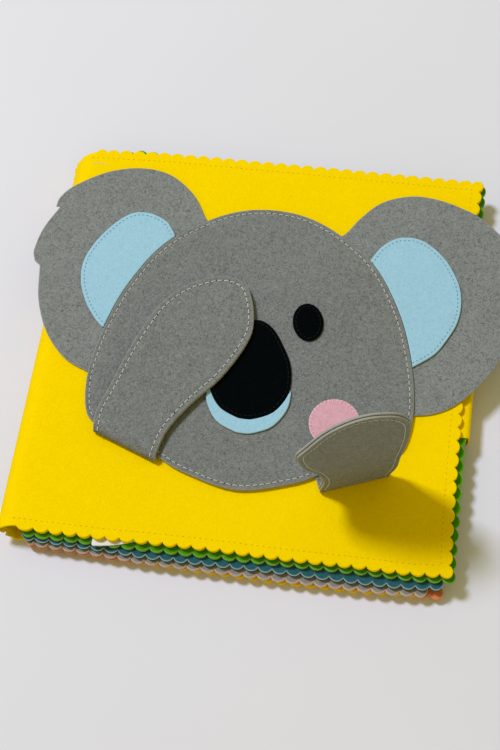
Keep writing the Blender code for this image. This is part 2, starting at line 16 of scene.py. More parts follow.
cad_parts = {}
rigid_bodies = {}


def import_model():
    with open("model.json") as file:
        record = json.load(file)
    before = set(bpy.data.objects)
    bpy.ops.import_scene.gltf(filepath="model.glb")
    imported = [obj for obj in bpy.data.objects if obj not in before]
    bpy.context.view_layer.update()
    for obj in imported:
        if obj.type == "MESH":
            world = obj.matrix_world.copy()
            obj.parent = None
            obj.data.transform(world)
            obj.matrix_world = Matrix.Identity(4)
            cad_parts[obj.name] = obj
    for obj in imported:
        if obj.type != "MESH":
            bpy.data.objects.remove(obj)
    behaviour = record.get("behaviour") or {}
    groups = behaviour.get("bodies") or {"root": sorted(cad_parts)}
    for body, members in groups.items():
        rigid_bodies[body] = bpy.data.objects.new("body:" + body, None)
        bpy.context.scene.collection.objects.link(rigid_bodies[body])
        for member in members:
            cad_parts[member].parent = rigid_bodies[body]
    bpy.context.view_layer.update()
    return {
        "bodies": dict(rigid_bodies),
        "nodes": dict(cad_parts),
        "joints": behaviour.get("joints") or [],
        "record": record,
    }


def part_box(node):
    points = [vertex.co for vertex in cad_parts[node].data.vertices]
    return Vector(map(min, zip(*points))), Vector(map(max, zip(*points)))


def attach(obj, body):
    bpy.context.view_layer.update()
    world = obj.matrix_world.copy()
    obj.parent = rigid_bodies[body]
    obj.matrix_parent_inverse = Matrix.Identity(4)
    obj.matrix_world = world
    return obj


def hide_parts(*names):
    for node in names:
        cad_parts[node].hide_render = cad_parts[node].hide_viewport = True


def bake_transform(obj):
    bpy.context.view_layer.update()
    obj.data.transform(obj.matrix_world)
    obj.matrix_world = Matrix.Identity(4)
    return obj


LOG = logging.getLogger("quiet_book")

MM = 0.001
FELT = 1.2 * MM
LIP = 0.28 * MM
GRAIN = "felt_grain"
# Name of the per-point share of painted highlight along a sheet's cut edge and wall.
EDGE_HIGHLIGHT = "cut_edge"
UP = "thread_up"

Point = tuple[float, float]
Point3 = tuple[float, float, float]
Colour = tuple[float, float, float]
Tone = tuple[int, int, int]
Warp = Callable[[Vector], Vector]


class Side(Enum):
    """Which side of the koala a piece is on, as the sign of its X."""

    LEFT = -1
    RIGHT = 1


class Hold(Enum):
    """How a sheet of felt is held."""

    LAID = "laid"
    FOLDED = "folded"


def srgb(red: int, green: int, blue: int) -> Colour:
    """Turns a display colour from 0 to 255 into a linear one.

    Args:
        red: The red channel.
        green: The green channel.
        blue: The blue channel.

    Returns:
        The linear colour.
    """
    shares = (channel / 255 for channel in (red, green, blue))
    return tuple(s / 12.92 if s < 0.04045 else ((s + 0.055) / 1.055) ** 2.4 for s in shares)


# Shader groups and finishes
class NodeSketch:
    """A thin wrapper that adds and links nodes in one tree."""

    def __init__(self, tree: bpy.types.NodeTree) -> None:
        """Keeps the tree that nodes are added to."""
        self.tree = tree

    def add(self, kind: str, **settings: object) -> bpy.types.Node:
        """Adds a node.

        Args:
            kind: The node's type name.
            **settings: Node properties, or default values for its sockets.

        Returns:
            The new node.
        """
        node = self.tree.nodes.new(kind)
        for name, value in settings.items():
            setattr(node, name, value)
        return node

    def feed(self, node: bpy.types.Node, **inputs: object) -> bpy.types.Node:
        """Sets or links a node's inputs, by socket name or by index after an underscore.

        Args:
            node: The node to feed.
            **inputs: A value or an output socket for each input.

        Returns:
            The same node.
        """
        for name, value in inputs.items():
            key = int(name[1:]) if name[0] == "_" else name.replace("_", " ")
            socket = node.inputs[key]
            if isinstance(value, bpy.types.NodeSocket):
                self.tree.links.new(value, socket)
            else:
                socket.default_value = value
        return node

    def maths(self, operation: str, *values: object) -> bpy.types.NodeSocket:
        """Adds a Math node and returns its output."""
        node = self.add("ShaderNodeMath", operation=operation)
        self.feed(node, **{f"_{k}": value for k, value in enumerate(values)})
        return node.outputs[0]

    def blend(self, kind: str, share: object, first: object, second: object) -> bpy.types.NodeSocket:
        """Adds a colour Mix node and returns its output."""
        node = self.add("ShaderNodeMix", data_type="RGBA", blend_type=kind)
        self.feed(node, _0=share, _6=first, _7=second)
        return node.outputs[2]

    def scaled(self, vector: object, factor: object) -> bpy.types.NodeSocket:
        """Adds a node that scales a vector or colour and returns its output."""
        node = self.add("ShaderNodeVectorMath", operation="SCALE")
        return self.feed(node, _0=vector, _3=factor).outputs[0]

    def cloud(self, vector: bpy.types.NodeSocket, scale: float, **inputs: float) -> bpy.types.Node:
        """Adds a noise texture that reads a coordinate."""
        return self.feed(self.add("ShaderNodeTexNoise"), Vector=vector, Scale=scale, **inputs)


class FibreGroup:
    """The shared node group that draws pressed wool fibres."""

    NAME = "Pressed fibres"
    STRANDS = ((0.3, 0.0), (1.35, 3.1), (2.4, 7.7))
    STRAND_LENGTH = 2.6 * MM
    STRAND_WIDTH = 0.44 * MM
    STREAK_CUT = (0.62, 0.78)
    DARK_SHIFT = 11.0
    SWAY = 1.8 * MM
    SWAY_SCALE = 240.0
    FINE_SCALE = 900.0
    SOFT_SCALE = 150.0
    SOFT_WEIGHT = 0.45
    WIDE_SCALE = 16.0
    WIDE_WEIGHT = 0.3
    MEAN = 0.875
    PALE_SHARE = 0.55
    FINE_HEIGHT = 1.2
    DARK_DEPTH = 0.5
    INPUTS = (
        ("Grain", "NodeSocketVector"), ("Base", "NodeSocketColor"), ("Pale", "NodeSocketColor"),
        ("Dark", "NodeSocketColor"), ("Strands", "NodeSocketFloat"), ("Mottling", "NodeSocketFloat"),
    )

    @classmethod
    def tree(cls) -> bpy.types.NodeTree:
        """Returns the group, built on its first use."""
        found = bpy.data.node_groups.get(cls.NAME)
        return found or cls.build()

    @classmethod
    def build(cls) -> bpy.types.NodeTree:
        """Builds the group: base colour in, mottled colour and height out."""
        tree = bpy.data.node_groups.new(cls.NAME, "ShaderNodeTree")
        for name, kind in cls.INPUTS:
            tree.interface.new_socket(name=name, in_out="INPUT", socket_type=kind)
        tree.interface.new_socket(name="Color", in_out="OUTPUT", socket_type="NodeSocketColor")
        tree.interface.new_socket(name="Height", in_out="OUTPUT", socket_type="NodeSocketFloat")
        sketch = NodeSketch(tree)
        inlet = sketch.add("NodeGroupInput").outputs
        grain = inlet["Grain"]
        sway = sketch.cloud(grain, cls.SWAY_SCALE, Detail=1.0)
        bent = sketch.add("ShaderNodeVectorMath", operation="MULTIPLY_ADD")
        sketch.feed(bent, _0=sway.outputs["Color"], _1=(cls.SWAY,) * 3, _2=grain)
        pale = cls.strands(sketch, bent.outputs[0], 0.0)
        dark = cls.strands(sketch, bent.outputs[0], cls.DARK_SHIFT)
        fine = sketch.cloud(grain, cls.FINE_SCALE, Detail=3.0, Roughness=0.65).outputs["Fac"]
        soft = sketch.cloud(grain, cls.SOFT_SCALE, Detail=3.0, Roughness=0.6).outputs["Fac"]
        wide = sketch.cloud(grain, cls.WIDE_SCALE, Detail=2.0).outputs["Fac"]
        patchy = sketch.maths("ADD", sketch.maths("MULTIPLY", soft, cls.SOFT_WEIGHT), fine)
        patchy = sketch.maths("MULTIPLY_ADD", wide, cls.WIDE_WEIGHT, patchy)
        patchy = sketch.maths("SUBTRACT", patchy, cls.MEAN)
        tone = sketch.maths("MULTIPLY_ADD", patchy, inlet["Mottling"], 1.0)
        toned = sketch.scaled(inlet["Base"], tone)
        share = sketch.maths("MULTIPLY", dark, inlet["Strands"])
        colour = sketch.blend("MIX", share, toned, inlet["Dark"])
        share = sketch.maths("MULTIPLY", sketch.maths("MULTIPLY", pale, cls.PALE_SHARE), inlet["Strands"])
        colour = sketch.blend("MIX", share, colour, inlet["Pale"])
        height = sketch.maths("ADD", sketch.maths("MULTIPLY", fine, cls.FINE_HEIGHT), pale)
        height = sketch.maths("SUBTRACT", height, sketch.maths("MULTIPLY", dark, cls.DARK_DEPTH))
        sketch.feed(sketch.add("NodeGroupOutput"), Color=colour, Height=height)
        return tree

    @classmethod
    def strands(
        cls, sketch: NodeSketch, vector: bpy.types.NodeSocket, shift: float,
    ) -> bpy.types.NodeSocket:
        """Adds a mask of thin strands that lie in three directions.

        Args:
            sketch: The tree to add to.
            vector: The grain coordinate.
            shift: An offset that gives another set of strands.

        Returns:
            The mask's output socket.
        """
        mask = None
        for turn, offset in cls.STRANDS:
            laid = sketch.add("ShaderNodeMapping", vector_type="TEXTURE")
            sketch.feed(
                laid, Vector=vector, Rotation=(0.0, 0.0, turn + shift),
                Location=(offset + shift, shift, 0.0),
                Scale=(cls.STRAND_LENGTH, cls.STRAND_WIDTH, cls.STRAND_WIDTH * 3),
            )
            streak = sketch.cloud(laid.outputs[0], 1.0, Detail=0.0)
            cut = sketch.add("ShaderNodeMapRange", interpolation_type="SMOOTHSTEP")
            low, high = cls.STREAK_CUT
            sketch.feed(cut, Value=streak.outputs["Fac"], From_Min=low, From_Max=high)
            mask = cut.outputs[0] if mask is None else sketch.maths("MAXIMUM", mask, cut.outputs[0])
        return mask


def fresh_material(name: str) -> tuple[bpy.types.Material, NodeSketch, bpy.types.Node]:
    """Makes a material.

    Args:
        name: The material's name.

    Returns:
        The material, the sketch of its nodes and its main shader.
    """
    material = bpy.data.materials.new(name)
    material.use_nodes = True
    tree = material.node_tree
    return material, NodeSketch(tree), tree.nodes["Principled BSDF"]


@dataclass(frozen=True)
class Finish(ABC):
    """A named look, whose material is made on its first use."""

    name: str

    @abstractmethod
    def dress(self, sketch: NodeSketch, shader: bpy.types.Node) -> None:
        """Adds the nodes of the look to a new material."""

    def material(self) -> bpy.types.Material:
        """Returns the finish's material."""
        material = bpy.data.materials.get(self.name)
        if not material:
            material, sketch, shader = fresh_material(self.name)
            self.dress(sketch, shader)
        return material


@dataclass(frozen=True)
class FeltFinish(Finish):
    """One colour of craft felt, with its fibres and a painted highlight along its cut edge, where the edge
    catches the light.
    """

    slot: str
    base: Colour
    pale: Colour
    dark: Colour
    # rim: a paler colour painted on the cut edge as the highlight that the edge catches.
    rim: Colour
    strands: float = 0.3
    mottling: float = 0.35
    rim_share: float = 0.5
    roughness: float = 0.95
    sheen: float = 0.12
    specular: float = 0.12
    bump: float = 0.35

    RELIEF = 0.3 * MM

    def dress(self, sketch: NodeSketch, shader: bpy.types.Node) -> None:
        """Adds the fibres, the painted highlight on the cut edge and the relief to a new material."""
        grain = sketch.add("ShaderNodeAttribute", attribute_name=GRAIN)
        fibres = sketch.add("ShaderNodeGroup", node_tree=FibreGroup.tree())
        sketch.feed(
            fibres, Grain=grain.outputs["Vector"], Base=(*self.base, 1.0), Pale=(*self.pale, 1.0),
            Dark=(*self.dark, 1.0), Strands=self.strands, Mottling=self.mottling,
        )
        # Painted highlight: the rim colour is mixed in along the cut edge and wall, where the light catches
        # them.
        edge = sketch.add("ShaderNodeAttribute", attribute_name=EDGE_HIGHLIGHT)
        share = sketch.maths("MULTIPLY", edge.outputs["Fac"], self.rim_share)
        colour = sketch.blend("MIX", share, fibres.outputs["Color"], (*self.rim, 1.0))
        bump = sketch.add("ShaderNodeBump")
        sketch.feed(bump, Strength=self.bump, Distance=self.RELIEF, Height=fibres.outputs["Height"])
        sketch.feed(
            shader, Base_Color=colour, Roughness=self.roughness, Normal=bump.outputs[0],
            Sheen_Weight=self.sheen, Sheen_Roughness=0.6, Specular_IOR_Level=self.specular,
        )


@dataclass(frozen=True)
class ThreadFinish(Finish):
    """A sewing thread's colour."""

    colour: Colour
    roughness: float = 0.7

    RELIEF = 0.1 * MM

    def dress(self, sketch: NodeSketch, shader: bpy.types.Node) -> None:
        """Adds the tone and the twist of the plies to a new material."""
        place = sketch.add("ShaderNodeTexCoord")
        plies = sketch.feed(sketch.add("ShaderNodeTexWave"), Vector=place.outputs["Object"], Scale=900.0)
        patches = sketch.cloud(place.outputs["Object"], 400.0)
        tone = sketch.maths("MULTIPLY_ADD", patches.outputs["Fac"], 0.3, 0.85)
        bump = sketch.add("ShaderNodeBump")
        sketch.feed(bump, Strength=0.3, Distance=self.RELIEF, Height=plies.outputs["Fac"])
        toned = sketch.scaled(self.colour, tone)
        sketch.feed(shader, Base_Color=toned, Roughness=self.roughness, Normal=bump.outputs[0])


def felt(name: str, *tones: Tone, **looks: float) -> FeltFinish:
    """Returns a felt by its display colours, in the record slot that has its name."""
    return FeltFinish(name, name.replace(" ", "_"), *(srgb(*tone) for tone in tones), **looks)


def thread(name: str, *tone: int, **looks: float) -> ThreadFinish:
    """Returns a thread by its display colour."""
    return ThreadFinish(name, srgb(*tone), **looks)


# Each felt's last tone is its rim: a paler colour painted on the cut edge as a highlight.
YELLOW = felt(
    "yellow felt", (243, 206, 0), (252, 218, 20), (222, 178, 0), (252, 218, 36),
    strands=0.14, mottling=0.11, rim_share=0.2, sheen=0.0, specular=0.03,
)
GREEN = felt(
    "green felt", (68, 142, 0), (110, 172, 24), (34, 86, 0), (150, 200, 90),
    rim_share=0.75, sheen=0.02,
)
# The teal's base is set darker than the felt is, as painted shade: its edge lies in the shade of the cover
# and the leaves above.
TEAL = felt(
    "teal felt", (38, 86, 95), (88, 140, 146), (18, 50, 60), (176, 208, 208),
    rim_share=0.9, sheen=0.06,
)
NAVY = felt(
    "navy felt", (22, 30, 44), (50, 60, 78), (8, 10, 18), (60, 70, 85), rim_share=0.3,
)
LEAF_GREY = felt(
    "leaf grey felt", (136, 128, 120), (190, 178, 168), (92, 86, 80),
    (222, 206, 194), rim_share=0.9, sheen=0.06,
)
ORANGE = felt(
    "orange felt", (212, 122, 74), (232, 158, 112), (168, 84, 44), (236, 170, 128),
    sheen=0.05,
)
KOALA_GREY = felt(
    "koala grey felt", (117, 119, 114), (164, 166, 160), (58, 62, 62),
    (166, 164, 154), strands=0.6, mottling=0.75, rim_share=0.8, sheen=0.1, bump=0.45,
)
EAR_GREY = replace(KOALA_GREY, name="ear grey felt", base=srgb(125, 128, 123))
LIGHT_BLUE = felt(
    "light blue felt", (152, 194, 209), (184, 216, 226), (116, 160, 180),
    (182, 214, 224), strands=0.3, mottling=0.2, rim_share=0.5,
)
BLACK = felt(
    "black felt", (4, 7, 8), (24, 28, 30), (1, 2, 3), (20, 24, 26),
    strands=0.2, rim_share=0.3, sheen=0.0, specular=0.02,
)
PINK = felt(
    "pink felt", (212, 160, 168), (236, 200, 206), (184, 124, 134), (232, 190, 198),
    strands=0.4, mottling=0.35,
)
RIBBON_WHITE = felt(
    "white ribbon", (226, 224, 212), (244, 242, 234), (196, 194, 180),
    (240, 238, 230), strands=0.15, mottling=0.12,
)
WHITE_THREAD = thread("white thread", 200, 198, 188)
# The covers' yellow thread is set darker, to ochre, as painted shade where the dotted stitches sink into
# the felt.
SHADED_YELLOW_THREAD = thread("ochre thread", 214, 172, 0)
BLUE_THREAD = thread("slate blue thread", 96, 132, 152)
BLACK_THREAD = thread("black thread", 4, 6, 7, roughness=1.0)
PINK_THREAD = thread("pink thread", 240, 198, 206)
GREEN_THREAD = thread("green thread", 70, 120, 12)
GREY_THREAD = thread("grey thread", 70, 72, 76)
# Not a thread: the dark colour of the balls painted into the needle holes as their shade.
NEEDLE_HOLE_SHADE = thread("needle hole", 34, 36, 36, roughness=1.0)


# Flat outlines
@dataclass
class Outline:
    """A closed flat outline that runs anticlockwise."""

    points: list[Point]

    CORNER = math.radians(34)

    def __post_init__(self) -> None:
        """Turns the outline anticlockwise where it isn't."""
        if self.signed_area() < 0:
            self.points = self.points[::-1]

    def signed_area(self) -> float:
        """Returns the area, negative where the outline runs clockwise."""
        ring = np.array(self.points)
        after = np.roll(ring, -1, axis=0)
        return float((ring[:, 0] * after[:, 1] - after[:, 0] * ring[:, 1]).sum() / 2)

    def size(self) -> Point:
        """Returns the outline's width and height."""
        ring = np.array(self.points)
        span = ring.max(axis=0) - ring.min(axis=0)
        return float(span[0]), float(span[1])

    def refined(self, spacing: float) -> "Outline":
        """Returns a smooth outline through the points that keeps sharp corners.

        Args:
            spacing: The distance between the new points.

        Returns:
            The finer outline.
        """
        ring = [Vector(p) for p in self.points]
        count = len(ring)
        sharp, tangents = [], []
        for i, here in enumerate(ring):
            before, after = here - ring[i - 1], ring[(i + 1) % count] - here
            sharp.append(abs(before.angle_signed(after, 0.0)) > self.CORNER)
            tangents.append((before + after) / max(before.length + after.length, 1e-9))
        fine = []
        for i, start in enumerate(ring):
            j = (i + 1) % count
            end = ring[j]
            step = end - start
            leave = step if sharp[i] else tangents[i] * step.length
            arrive = step if sharp[j] else tangents[j] * step.length
            pieces = max(1, round(step.length / spacing))
            for k in range(pieces):
                t = k / pieces
                spot = start * (2 * t**3 - 3 * t**2 + 1) + end * (3 * t**2 - 2 * t**3)
                spot += leave * (t**3 - 2 * t**2 + t) + arrive * (t**3 - t**2)
                fine.append((spot.x, spot.y))
        return Outline(fine)

    def inset(self, depth: float) -> list[Point]:
        """Returns the points moved inwards by a depth, one for each of the outline's."""
        ring = np.array(self.points)
        ahead = np.roll(ring, -1, axis=0) - ring
        ahead /= np.linalg.norm(ahead, axis=1)[:, None] + 1e-12
        along = ahead + np.roll(ahead, 1, axis=0)
        along /= np.linalg.norm(along, axis=1)[:, None] + 1e-12
        inward = np.stack([-along[:, 1], along[:, 0]], axis=1)
        return [(float(x), float(y)) for x, y in ring + inward * depth]

    def holds(self, spots: np.ndarray) -> np.ndarray:
        """Returns which spots lie inside the outline."""
        ring = np.array(self.points)
        after = np.roll(ring, -1, axis=0)
        x, y = spots[:, 0:1], spots[:, 1:2]
        crosses = (ring[:, 1] > y) != (after[:, 1] > y)
        rise = after[:, 1] - ring[:, 1]
        rise[rise == 0] = 1e-12
        at = ring[:, 0] + (y - ring[:, 1]) * (after[:, 0] - ring[:, 0]) / rise
        return ((crosses & (x < at)).sum(axis=1) % 2).astype(bool)

    def distance(self, spots: np.ndarray) -> np.ndarray:
        """Returns each spot's distance from the outline's points."""
        ring = np.array(self.points)
        return np.sqrt(((spots[:, None, :] - ring[None, :, :]) ** 2).sum(axis=2).min(axis=1))

    def without(self, other: "Outline") -> "Outline":
        """Returns this outline where it lies outside another, which it crosses twice."""
        mine = np.array(self.points)
        hidden = other.holds(mine)
        first = next(i for i in range(len(mine)) if hidden[i - 1] and not hidden[i])
        order = [(first + k) % len(mine) for k in range(len(mine))]
        kept = [self.points[i] for i in order if not hidden[i]]
        theirs = np.array(other.points)
        inside = self.holds(theirs)
        start = next(i for i in range(len(theirs)) if not inside[i - 1] and inside[i])
        order = [(start + k) % len(theirs) for k in range(len(theirs))]
        shared = [other.points[i] for i in order if inside[i]]
        return Outline(kept + shared[::-1])


def from_widest_gap(points: list) -> list:
    """Returns the points of a broken ring in order, from one side of its widest gap to the other."""
    split = max(range(len(points)), key=lambda i: math.dist(points[i], points[i - 1]))
    return points[split:] + points[:split]


def node_outline(node: bpy.types.Object, turn: Matrix | None = None) -> Outline:
    """Reads the outline of a flat CAD node's upper face.

    Args:
        node: The CAD node.
        turn: A matrix that lays the node flat, where it isn't.

    Returns:
        The outline in the XY plane.
    """
    mesh = node.data
    spots = [turn @ v.co if turn else v.co for v in mesh.vertices]
    top = max(spot.z for spot in spots) - 0.05 * MM
    keys = [(round(spot.x * 1e6), round(spot.y * 1e6)) for spot in spots]
    places = {key: (spot.x, spot.y) for key, spot in zip(keys, spots)}
    edges = set()
    mesh.calc_loop_triangles()
    for triangle in mesh.loop_triangles:
        corners = list(triangle.vertices)
        if min(spots[i].z for i in corners) < top:
            continue
        for a, b in zip(corners, corners[1:] + corners[:1]):
            edge = (keys[a], keys[b])
            if edge[::-1] in edges:
                edges.remove(edge[::-1])
            elif edge[0] != edge[1]:
                edges.add(edge)
    follows = dict(edges)
    key = next(iter(sorted(follows)))
    loop = []
    for _ in range(len(follows)):
        loop.append(places[key])
        key = follows[key]
    return Outline(loop)


# Felt pieces
@dataclass
class FeltCut:
    """A sheet of felt cut to an outline, with a soft lip, a fuzzy wall and sewn dips."""

    name: str
    outline: Outline
    bottom: float
    top: float
    finish: FeltFinish
    seam: float = 0.0
    seam_dip: float = 0.3 * MM
    pitch: float = 4 * MM
    wobble: float = 0.06 * MM
    warp: Warp | None = None
    bend: float = -math.inf

    RINGS = (0.7 * MM,)
    SEAM_REACH = 0.9 * MM
    BEND_PITCH = 1.5 * MM
    ROW_SHARE = 0.866
    CLEAR_SHARE = 0.45
    ROUGHNESS = Vector((900, 900, 3000))

    def rings(self) -> list[tuple[list[Point], float, float]]:
        """Returns the inner rings as points, dip and share of the painted edge highlight."""
        # The lip ring takes part of the painted edge highlight; the inner rings take none.
        rings = [(self.outline.inset(LIP), 0.0, 0.3)]
        rings += [(self.outline.inset(depth), 0.0, 0.0) for depth in self.RINGS]
        if self.seam:
            reach = self.SEAM_REACH
            for shift, dip in ((-reach, 0.0), (0.0, self.seam_dip), (reach, 0.0)):
                rings.append((self.outline.inset(self.seam + shift), dip, 0.0))
        return rings

    def filling(self, clearance: float) -> list[Point]:
        """Returns a grid of points inside the outline, clear of its rings."""
        ring = np.array(self.outline.points)
        low, high = ring.min(axis=0), ring.max(axis=0)
        rows = np.arange(low[1], high[1], self.pitch * self.ROW_SHARE)
        plain = [
            (x + (self.pitch / 2 if k % 2 else 0), y)
            for k, y in enumerate(rows)
            for x in np.arange(low[0], high[0], self.pitch)
            if x >= self.bend
        ]
        columns = np.arange(low[0], max(low[0], self.bend), self.BEND_PITCH)
        bent = [(x, y) for y in rows for x in columns]
        kept = []
        for spots, room in ((plain, clearance), (bent, min(clearance, self.BEND_PITCH))):
            if spots:
                spots = np.array(spots)
                spots = spots[self.outline.holds(spots)]
                kept += [(float(x), float(y)) for x, y in spots[self.outline.distance(spots) > room]]
        return kept

    def build(self) -> bpy.types.Object:
        """Returns the sheet as a closed mesh object at the origin."""
        spots, dips, shares = [], [], []
        ring_edges = []
        for points, dip, share in self.rings():
            base = len(spots)
            spots += points
            dips += [dip] * len(points)
            shares += [share] * len(points)
            ring_edges += [(base + i, base + (i + 1) % len(points)) for i in range(len(points))]
        count = len(self.outline.points)
        deepest = self.seam + self.SEAM_REACH if self.seam else self.RINGS[-1]
        inside = self.filling(deepest + self.pitch * self.CLEAR_SHARE)
        spots += inside
        dips += [0.0] * len(inside)
        shares += [0.0] * len(inside)
        found = delaunay_2d_cdt([Vector(p) for p in spots], ring_edges, [list(range(count))], 1, 1e-7)
        flat, triangles, origins = found[0], found[2], found[3]
        return self.shell(flat, triangles, origins, dips, shares)

    def shell(
        self, flat: list[Vector], triangles: list[list[int]], origins: list[list[int]],
        dips: list[float], shares: list[float],
    ) -> bpy.types.Object:
        """Joins the two faces of a sheet with its rounded wall.

        Args:
            flat: The points of a face.
            triangles: The face's triangles.
            origins: Which planned points each point stands for.
            dips: How far each planned point is pulled in by a seam.
            shares: How close each planned point is to the cut edge, which sets its share of the painted
                edge highlight.

        Returns:
            The mesh object.
        """
        size = len(flat)
        depth = [max((dips[i] for i in olds), default=0.0) for olds in origins]
        share = [max((shares[i] for i in olds), default=0.0) for olds in origins]
        spots = [Vector((p.x, p.y, self.top - depth[i])) for i, p in enumerate(flat)]
        spots += [Vector((p.x, p.y, self.bottom)) for p in flat]
        edge = share + share
        sides = [side for a, b, c in triangles for side in ((a, b), (b, c), (c, a))]
        inner = set(sides)
        cut = [side for side in sides if side[::-1] not in inner]
        order = {i: k for k, i in enumerate(dict.fromkeys(i for side in cut for i in side))}
        full = dict(enumerate(self.outline.points))
        reach = [full.get(min(origins[i], default=-1), flat[i]) for i in order]
        wall = []
        # The wall takes the full painted edge highlight.
        for level in (self.top - LIP, (self.top + self.bottom) / 2, self.bottom + LIP):
            wall.append(len(spots))
            for x, y in reach:
                rough = noise.noise(Vector((x, y, level)) * self.ROUGHNESS) * self.wobble
                spots.append(Vector((x + rough, y - rough, level)))
                edge.append(1.0)
        faces = [tuple(t) for t in triangles]
        faces += [tuple(size + i for i in reversed(t)) for t in triangles]
        for i, j in cut:
            ladder = [(i, j)]
            ladder += [(start + order[i], start + order[j]) for start in wall]
            ladder += [(size + i, size + j)]
            for (a, b), (c, d) in zip(ladder, ladder[1:]):
                faces.append((a, c, d, b))
        mesh = bpy.data.meshes.new(self.name)
        shaped = [self.warp(spot) for spot in spots] if self.warp else spots
        mesh.from_pydata(shaped, [], faces)
        grain = mesh.attributes.new(GRAIN, "FLOAT_VECTOR", "POINT")
        grain.data.foreach_set("vector", [value for spot in spots for value in spot])
        rim = mesh.attributes.new(EDGE_HIGHLIGHT, "FLOAT", "POINT")
        rim.data.foreach_set("value", edge)
        mesh.materials.append(self.finish.material())
        mesh.polygons.foreach_set("use_smooth", [True] * len(mesh.polygons))
        mesh.update()
        piece = bpy.data.objects.new(self.name, mesh)
        bpy.context.scene.collection.objects.link(piece)
        return piece


# Stitches
@dataclass(frozen=True)
class StitchPlan:
    """How a row of stitches is sewn."""

    thread: ThreadFinish
    pitch: float = 3.3 * MM
    length: float = 2.1 * MM
    radius: float = 0.29 * MM
    arch: float = 0.2 * MM
    turn: float = 0.0
    # holes: whether dark balls of painted shade go into the needle holes.
    holes: bool = False
    shade: ThreadFinish = NEEDLE_HOLE_SHADE


class StitchTree:
    """The Geometry Nodes tree that sews a row of stitches along a path."""

    NAME = "Sewn stitches"
    SIDES = 6
    STEPS = 5
    INPUTS = (
        ("Pitch", "NodeSocketFloat", "pitch"), ("Stitch length", "NodeSocketFloat", "length"),
        ("Thread radius", "NodeSocketFloat", "radius"), ("Arch", "NodeSocketFloat", "arch"),
        ("Turn", "NodeSocketFloat", "turn"), ("Needle holes", "NodeSocketBool", "holes"),
        ("Thread", "NodeSocketMaterial", "thread"), ("Hole shade", "NodeSocketMaterial", "shade"),
    )
    HOLE = "needle_hole"

    def __init__(self) -> None:
        """Builds the tree once for every row."""
        self.tree = bpy.data.node_groups.new(self.NAME, "GeometryNodeTree")
        self.sockets = {}
        face = self.tree.interface
        face.new_socket(name="Path", in_out="INPUT", socket_type="NodeSocketGeometry")
        for name, kind, key in self.INPUTS:
            self.sockets[key] = face.new_socket(name=name, in_out="INPUT", socket_type=kind).identifier
        face.new_socket(name="Stitches", in_out="OUTPUT", socket_type="NodeSocketGeometry")
        self.wire()

    def wire(self) -> None:
        """Adds the nodes: resample the path, sweep one stitch, place and realize it."""
        sketch = NodeSketch(self.tree)
        inlet = sketch.add("NodeGroupInput")
        path = sketch.feed(sketch.add("GeometryNodeMeshToCurve"), Mesh=inlet.outputs["Path"])
        marks = sketch.add("GeometryNodeResampleCurve", mode="LENGTH")
        sketch.feed(marks, Curve=path.outputs[0], Length=inlet.outputs["Pitch"])
        stitch = self.with_hole(sketch, inlet, self.stitch(sketch, inlet))
        along = sketch.add("FunctionNodeAlignRotationToVector", axis="X")
        sketch.feed(along, Vector=sketch.add("GeometryNodeInputTangent").outputs[0])
        upward = sketch.add("GeometryNodeInputNamedAttribute", data_type="FLOAT_VECTOR")
        sketch.feed(upward, Name=UP)
        stood = sketch.add("FunctionNodeAlignRotationToVector", axis="Z", pivot_axis="X")
        sketch.feed(stood, Rotation=along.outputs[0], Vector=upward.outputs[0])
        spin = sketch.add("FunctionNodeAxisAngleToRotation")
        sketch.feed(spin, Axis=(0.0, 0.0, 1.0), Angle=inlet.outputs["Turn"])
        turned = sketch.add("FunctionNodeRotateRotation", rotation_space="LOCAL")
        sketch.feed(turned, Rotation=stood.outputs[0], Rotate_By=spin.outputs[0])
        row = sketch.add("GeometryNodeInstanceOnPoints")
        sketch.feed(row, Points=marks.outputs[0], Instance=stitch, Rotation=turned.outputs[0])
        real = sketch.feed(sketch.add("GeometryNodeRealizeInstances"), Geometry=row.outputs[0])
        dressed = sketch.add("GeometryNodeSetMaterial")
        sketch.feed(dressed, Geometry=real.outputs[0], Material=inlet.outputs["Thread"])
        marked = sketch.add("GeometryNodeInputNamedAttribute", data_type="BOOLEAN")
        sketch.feed(marked, Name=self.HOLE)
        shaded = sketch.add("GeometryNodeSetMaterial")
        sketch.feed(
            shaded, Geometry=dressed.outputs[0], Selection=marked.outputs[0],
            Material=inlet.outputs["Hole shade"],
        )
        sketch.feed(sketch.add("NodeGroupOutput"), Stitches=shaded.outputs[0])

    def stitch(self, sketch: NodeSketch, inlet: bpy.types.Node) -> bpy.types.NodeSocket:
        """Sweeps one stitch: a thread that rises out of the felt and dips back.

        Args:
            sketch: The tree to add to.
            inlet: The group's input node.

        Returns:
            The stitch's geometry socket.
        """
        half = sketch.maths("MULTIPLY", inlet.outputs["Stitch length"], 0.5)
        back = sketch.maths("MULTIPLY", half, -1.0)
        sunk = sketch.maths("MULTIPLY", inlet.outputs["Thread radius"], -1.0)
        peak = sketch.maths("MULTIPLY_ADD", inlet.outputs["Arch"], 2.0, inlet.outputs["Thread radius"])
        ends = []
        for x, z in ((back, sunk), (0.0, peak), (half, sunk)):
            spot = sketch.add("ShaderNodeCombineXYZ")
            sketch.feed(spot, X=x, Z=z)
            ends.append(spot.outputs[0])
        bow = sketch.add("GeometryNodeCurveQuadraticBezier")
        sketch.feed(bow, Resolution=self.STEPS, Start=ends[0], Middle=ends[1], End=ends[2])
        ring = sketch.add("GeometryNodeCurvePrimitiveCircle", mode="RADIUS")
        sketch.feed(ring, Resolution=self.SIDES, Radius=inlet.outputs["Thread radius"])
        swept = sketch.add("GeometryNodeCurveToMesh")
        sketch.feed(swept, Curve=bow.outputs[0], Profile_Curve=ring.outputs[0], Fill_Caps=True)
        smooth = sketch.feed(sketch.add("GeometryNodeSetShadeSmooth"), Geometry=swept.outputs[0])
        return smooth.outputs[0]

